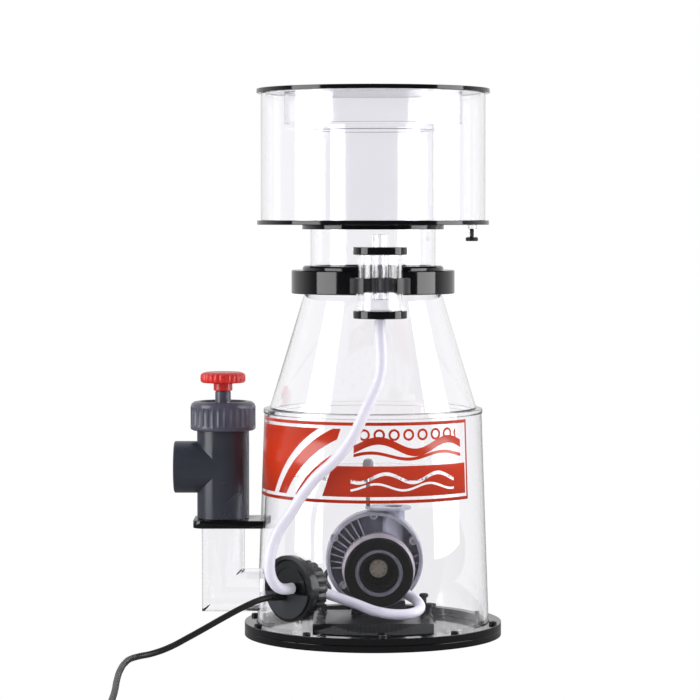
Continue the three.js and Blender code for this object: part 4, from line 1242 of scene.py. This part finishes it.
# ---- Outlet valve: tee, union nut, gate, stem and hand wheel ----
# Grey PVC-U pipe fittings with a soft moulded gloss. The red hand wheel turns the stem, which raises
# and lowers the gate inside the tee.
tee_low, tee_high = corners("outlet_tee")
TEE_RADIUS = (tee_high.y - tee_low.y) / 2
TEE_BORE = 25.2
BRANCH_HEIGHT = 196
grey_pvc = plastic("grey_pvc", (0.030, 0.033, 0.046), roughness=0.26, patchiness=0.15, grain=900.0)
to_branch = at(outlet_x, 0, BRANCH_HEIGHT) @ TO_RIGHT
branch_end = tee_low.x - outlet_x
tee = carved(
    spun([(0, tee_low.z), (TEE_RADIUS - 0.8, tee_low.z), (TEE_RADIUS, tee_low.z + 0.8),
          (TEE_RADIUS, tee_high.z), (0, tee_high.z)], 128, at(outlet_x, 0)),
    joins=[spun([(0, branch_end), (TEE_RADIUS - 1.4, branch_end), (TEE_RADIUS - 0.05, branch_end + 1.2),
                 (TEE_RADIUS - 0.05, 0), (0, 0)], 128, to_branch)],
    cuts=[rod(TEE_BORE, tee_low.z - 1, tee_high.z + 1, 96, at(outlet_x, 0)),
          rod(TEE_BORE - 0.05, branch_end - 1, 0, 96, to_branch)],
)
add_piece("valve_tee", tee, grey_pvc, "grey_pvc", "outlet_tee", bevel=0.3)
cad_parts["valve_gate"].data.materials.clear()
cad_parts["valve_gate"].data.materials.append(grey_pvc)

_, _, nut_radius, nut_bottom, nut_top = upright("union_nut")
STEM_RADIUS = 9.2
NUT_RIBS = 34
pale_pvc = plastic("pale_pvc", (0.066, 0.066, 0.095), roughness=0.24, patchiness=0.15, grain=900.0)
union_nut = spun([
    (STEM_RADIUS + 0.4, nut_bottom), (nut_radius - 2.5, nut_bottom), (nut_radius - 0.4, nut_bottom + 1.4),
    (nut_radius, nut_bottom + 3.6), (nut_radius, nut_bottom + 5), (nut_radius, nut_bottom + 7.5),
    (nut_radius, nut_top - 11), (nut_radius, nut_top - 8), (nut_radius, nut_top - 6.4),
    (nut_radius - 1.1, nut_top - 3), (nut_radius - 4, nut_top - 0.6), (nut_radius - 7.5, nut_top),
    (nut_radius - 10, nut_top - 0.2), (nut_radius - 11.5, nut_top - 2.4), (STEM_RADIUS + 0.4, nut_top - 2.4),
], NUT_RIBS * 8)
for vert in union_nut.verts:
    x, y, z = vert.co / MM
    if math.hypot(x, y) > nut_radius - 0.1 and nut_bottom + 6 < z < nut_top - 7.9:
        ridge = (0.5 + 0.5 * math.cos(math.atan2(y, x) * NUT_RIBS)) ** 3
        sunk = 1.3 * (1 - ridge) * (0.6 if z > nut_top - 9 else 1.0)
        draw_in(vert, (nut_radius - sunk) / nut_radius)
bmesh.ops.transform(union_nut, matrix=at(outlet_x, 0), verts=union_nut.verts)
add_piece("ribbed_union_nut", union_nut, pale_pvc, "grey_pvc", "union_nut", bevel=0.25)

_, _, _, stem_bottom, stem_top = upright("valve_stem")
stem = spun([
    (0, stem_bottom), (5, stem_bottom), (5, nut_bottom - 0.3), (STEM_RADIUS, nut_bottom - 0.3),
    (STEM_RADIUS, stem_top - 2), (STEM_RADIUS - 0.6, stem_top), (0, stem_top),
], 80, at(outlet_x, 0))
add_piece("turned_stem", stem, pale_pvc, "grey_pvc", "valve_stem", bevel=0.3, body="valve_handle")

red_plastic = plastic("red_plastic", (0.56, 0.022, 0.018), roughness=0.22, grain=700.0, relief=0.04)
_, _, wheel_radius, wheel_bottom, wheel_top = upright("valve_knob")
HUB = 11
WHEEL_FLUTES = 24
wheel = spun([
    (0, wheel_bottom), (HUB - 0.8, wheel_bottom), (HUB, wheel_bottom + 0.8), (HUB, wheel_top - 13.4),
    (HUB + 2.5, wheel_top - 12.4), (wheel_radius - 2.4, wheel_top - 12.4),
    (wheel_radius - 0.6, wheel_top - 11.2),
    (wheel_radius, wheel_top - 9.4), (wheel_radius, wheel_top - 4.4), (wheel_radius - 0.8, wheel_top - 2.4),
    (wheel_radius - 3, wheel_top - 0.9), (wheel_radius - 6, wheel_top), (wheel_radius - 9, wheel_top - 0.2),
    (8, wheel_top - 1.2), (0, wheel_top - 1.3),
], WHEEL_FLUTES * 8)
for vert in wheel.verts:
    x, y, _ = vert.co / MM
    reach = math.hypot(x, y)
    if reach > wheel_radius - 3.2:
        groove = (0.5 - 0.5 * math.cos(math.atan2(y, x) * WHEEL_FLUTES)) ** 2
        draw_in(vert, (reach - groove) / reach)
bmesh.ops.transform(wheel, matrix=at(outlet_x, 0), verts=wheel.verts)
add_piece("hand_wheel", wheel, red_plastic, "red_plastic", "valve_knob", bevel=0.25, body="valve_handle")
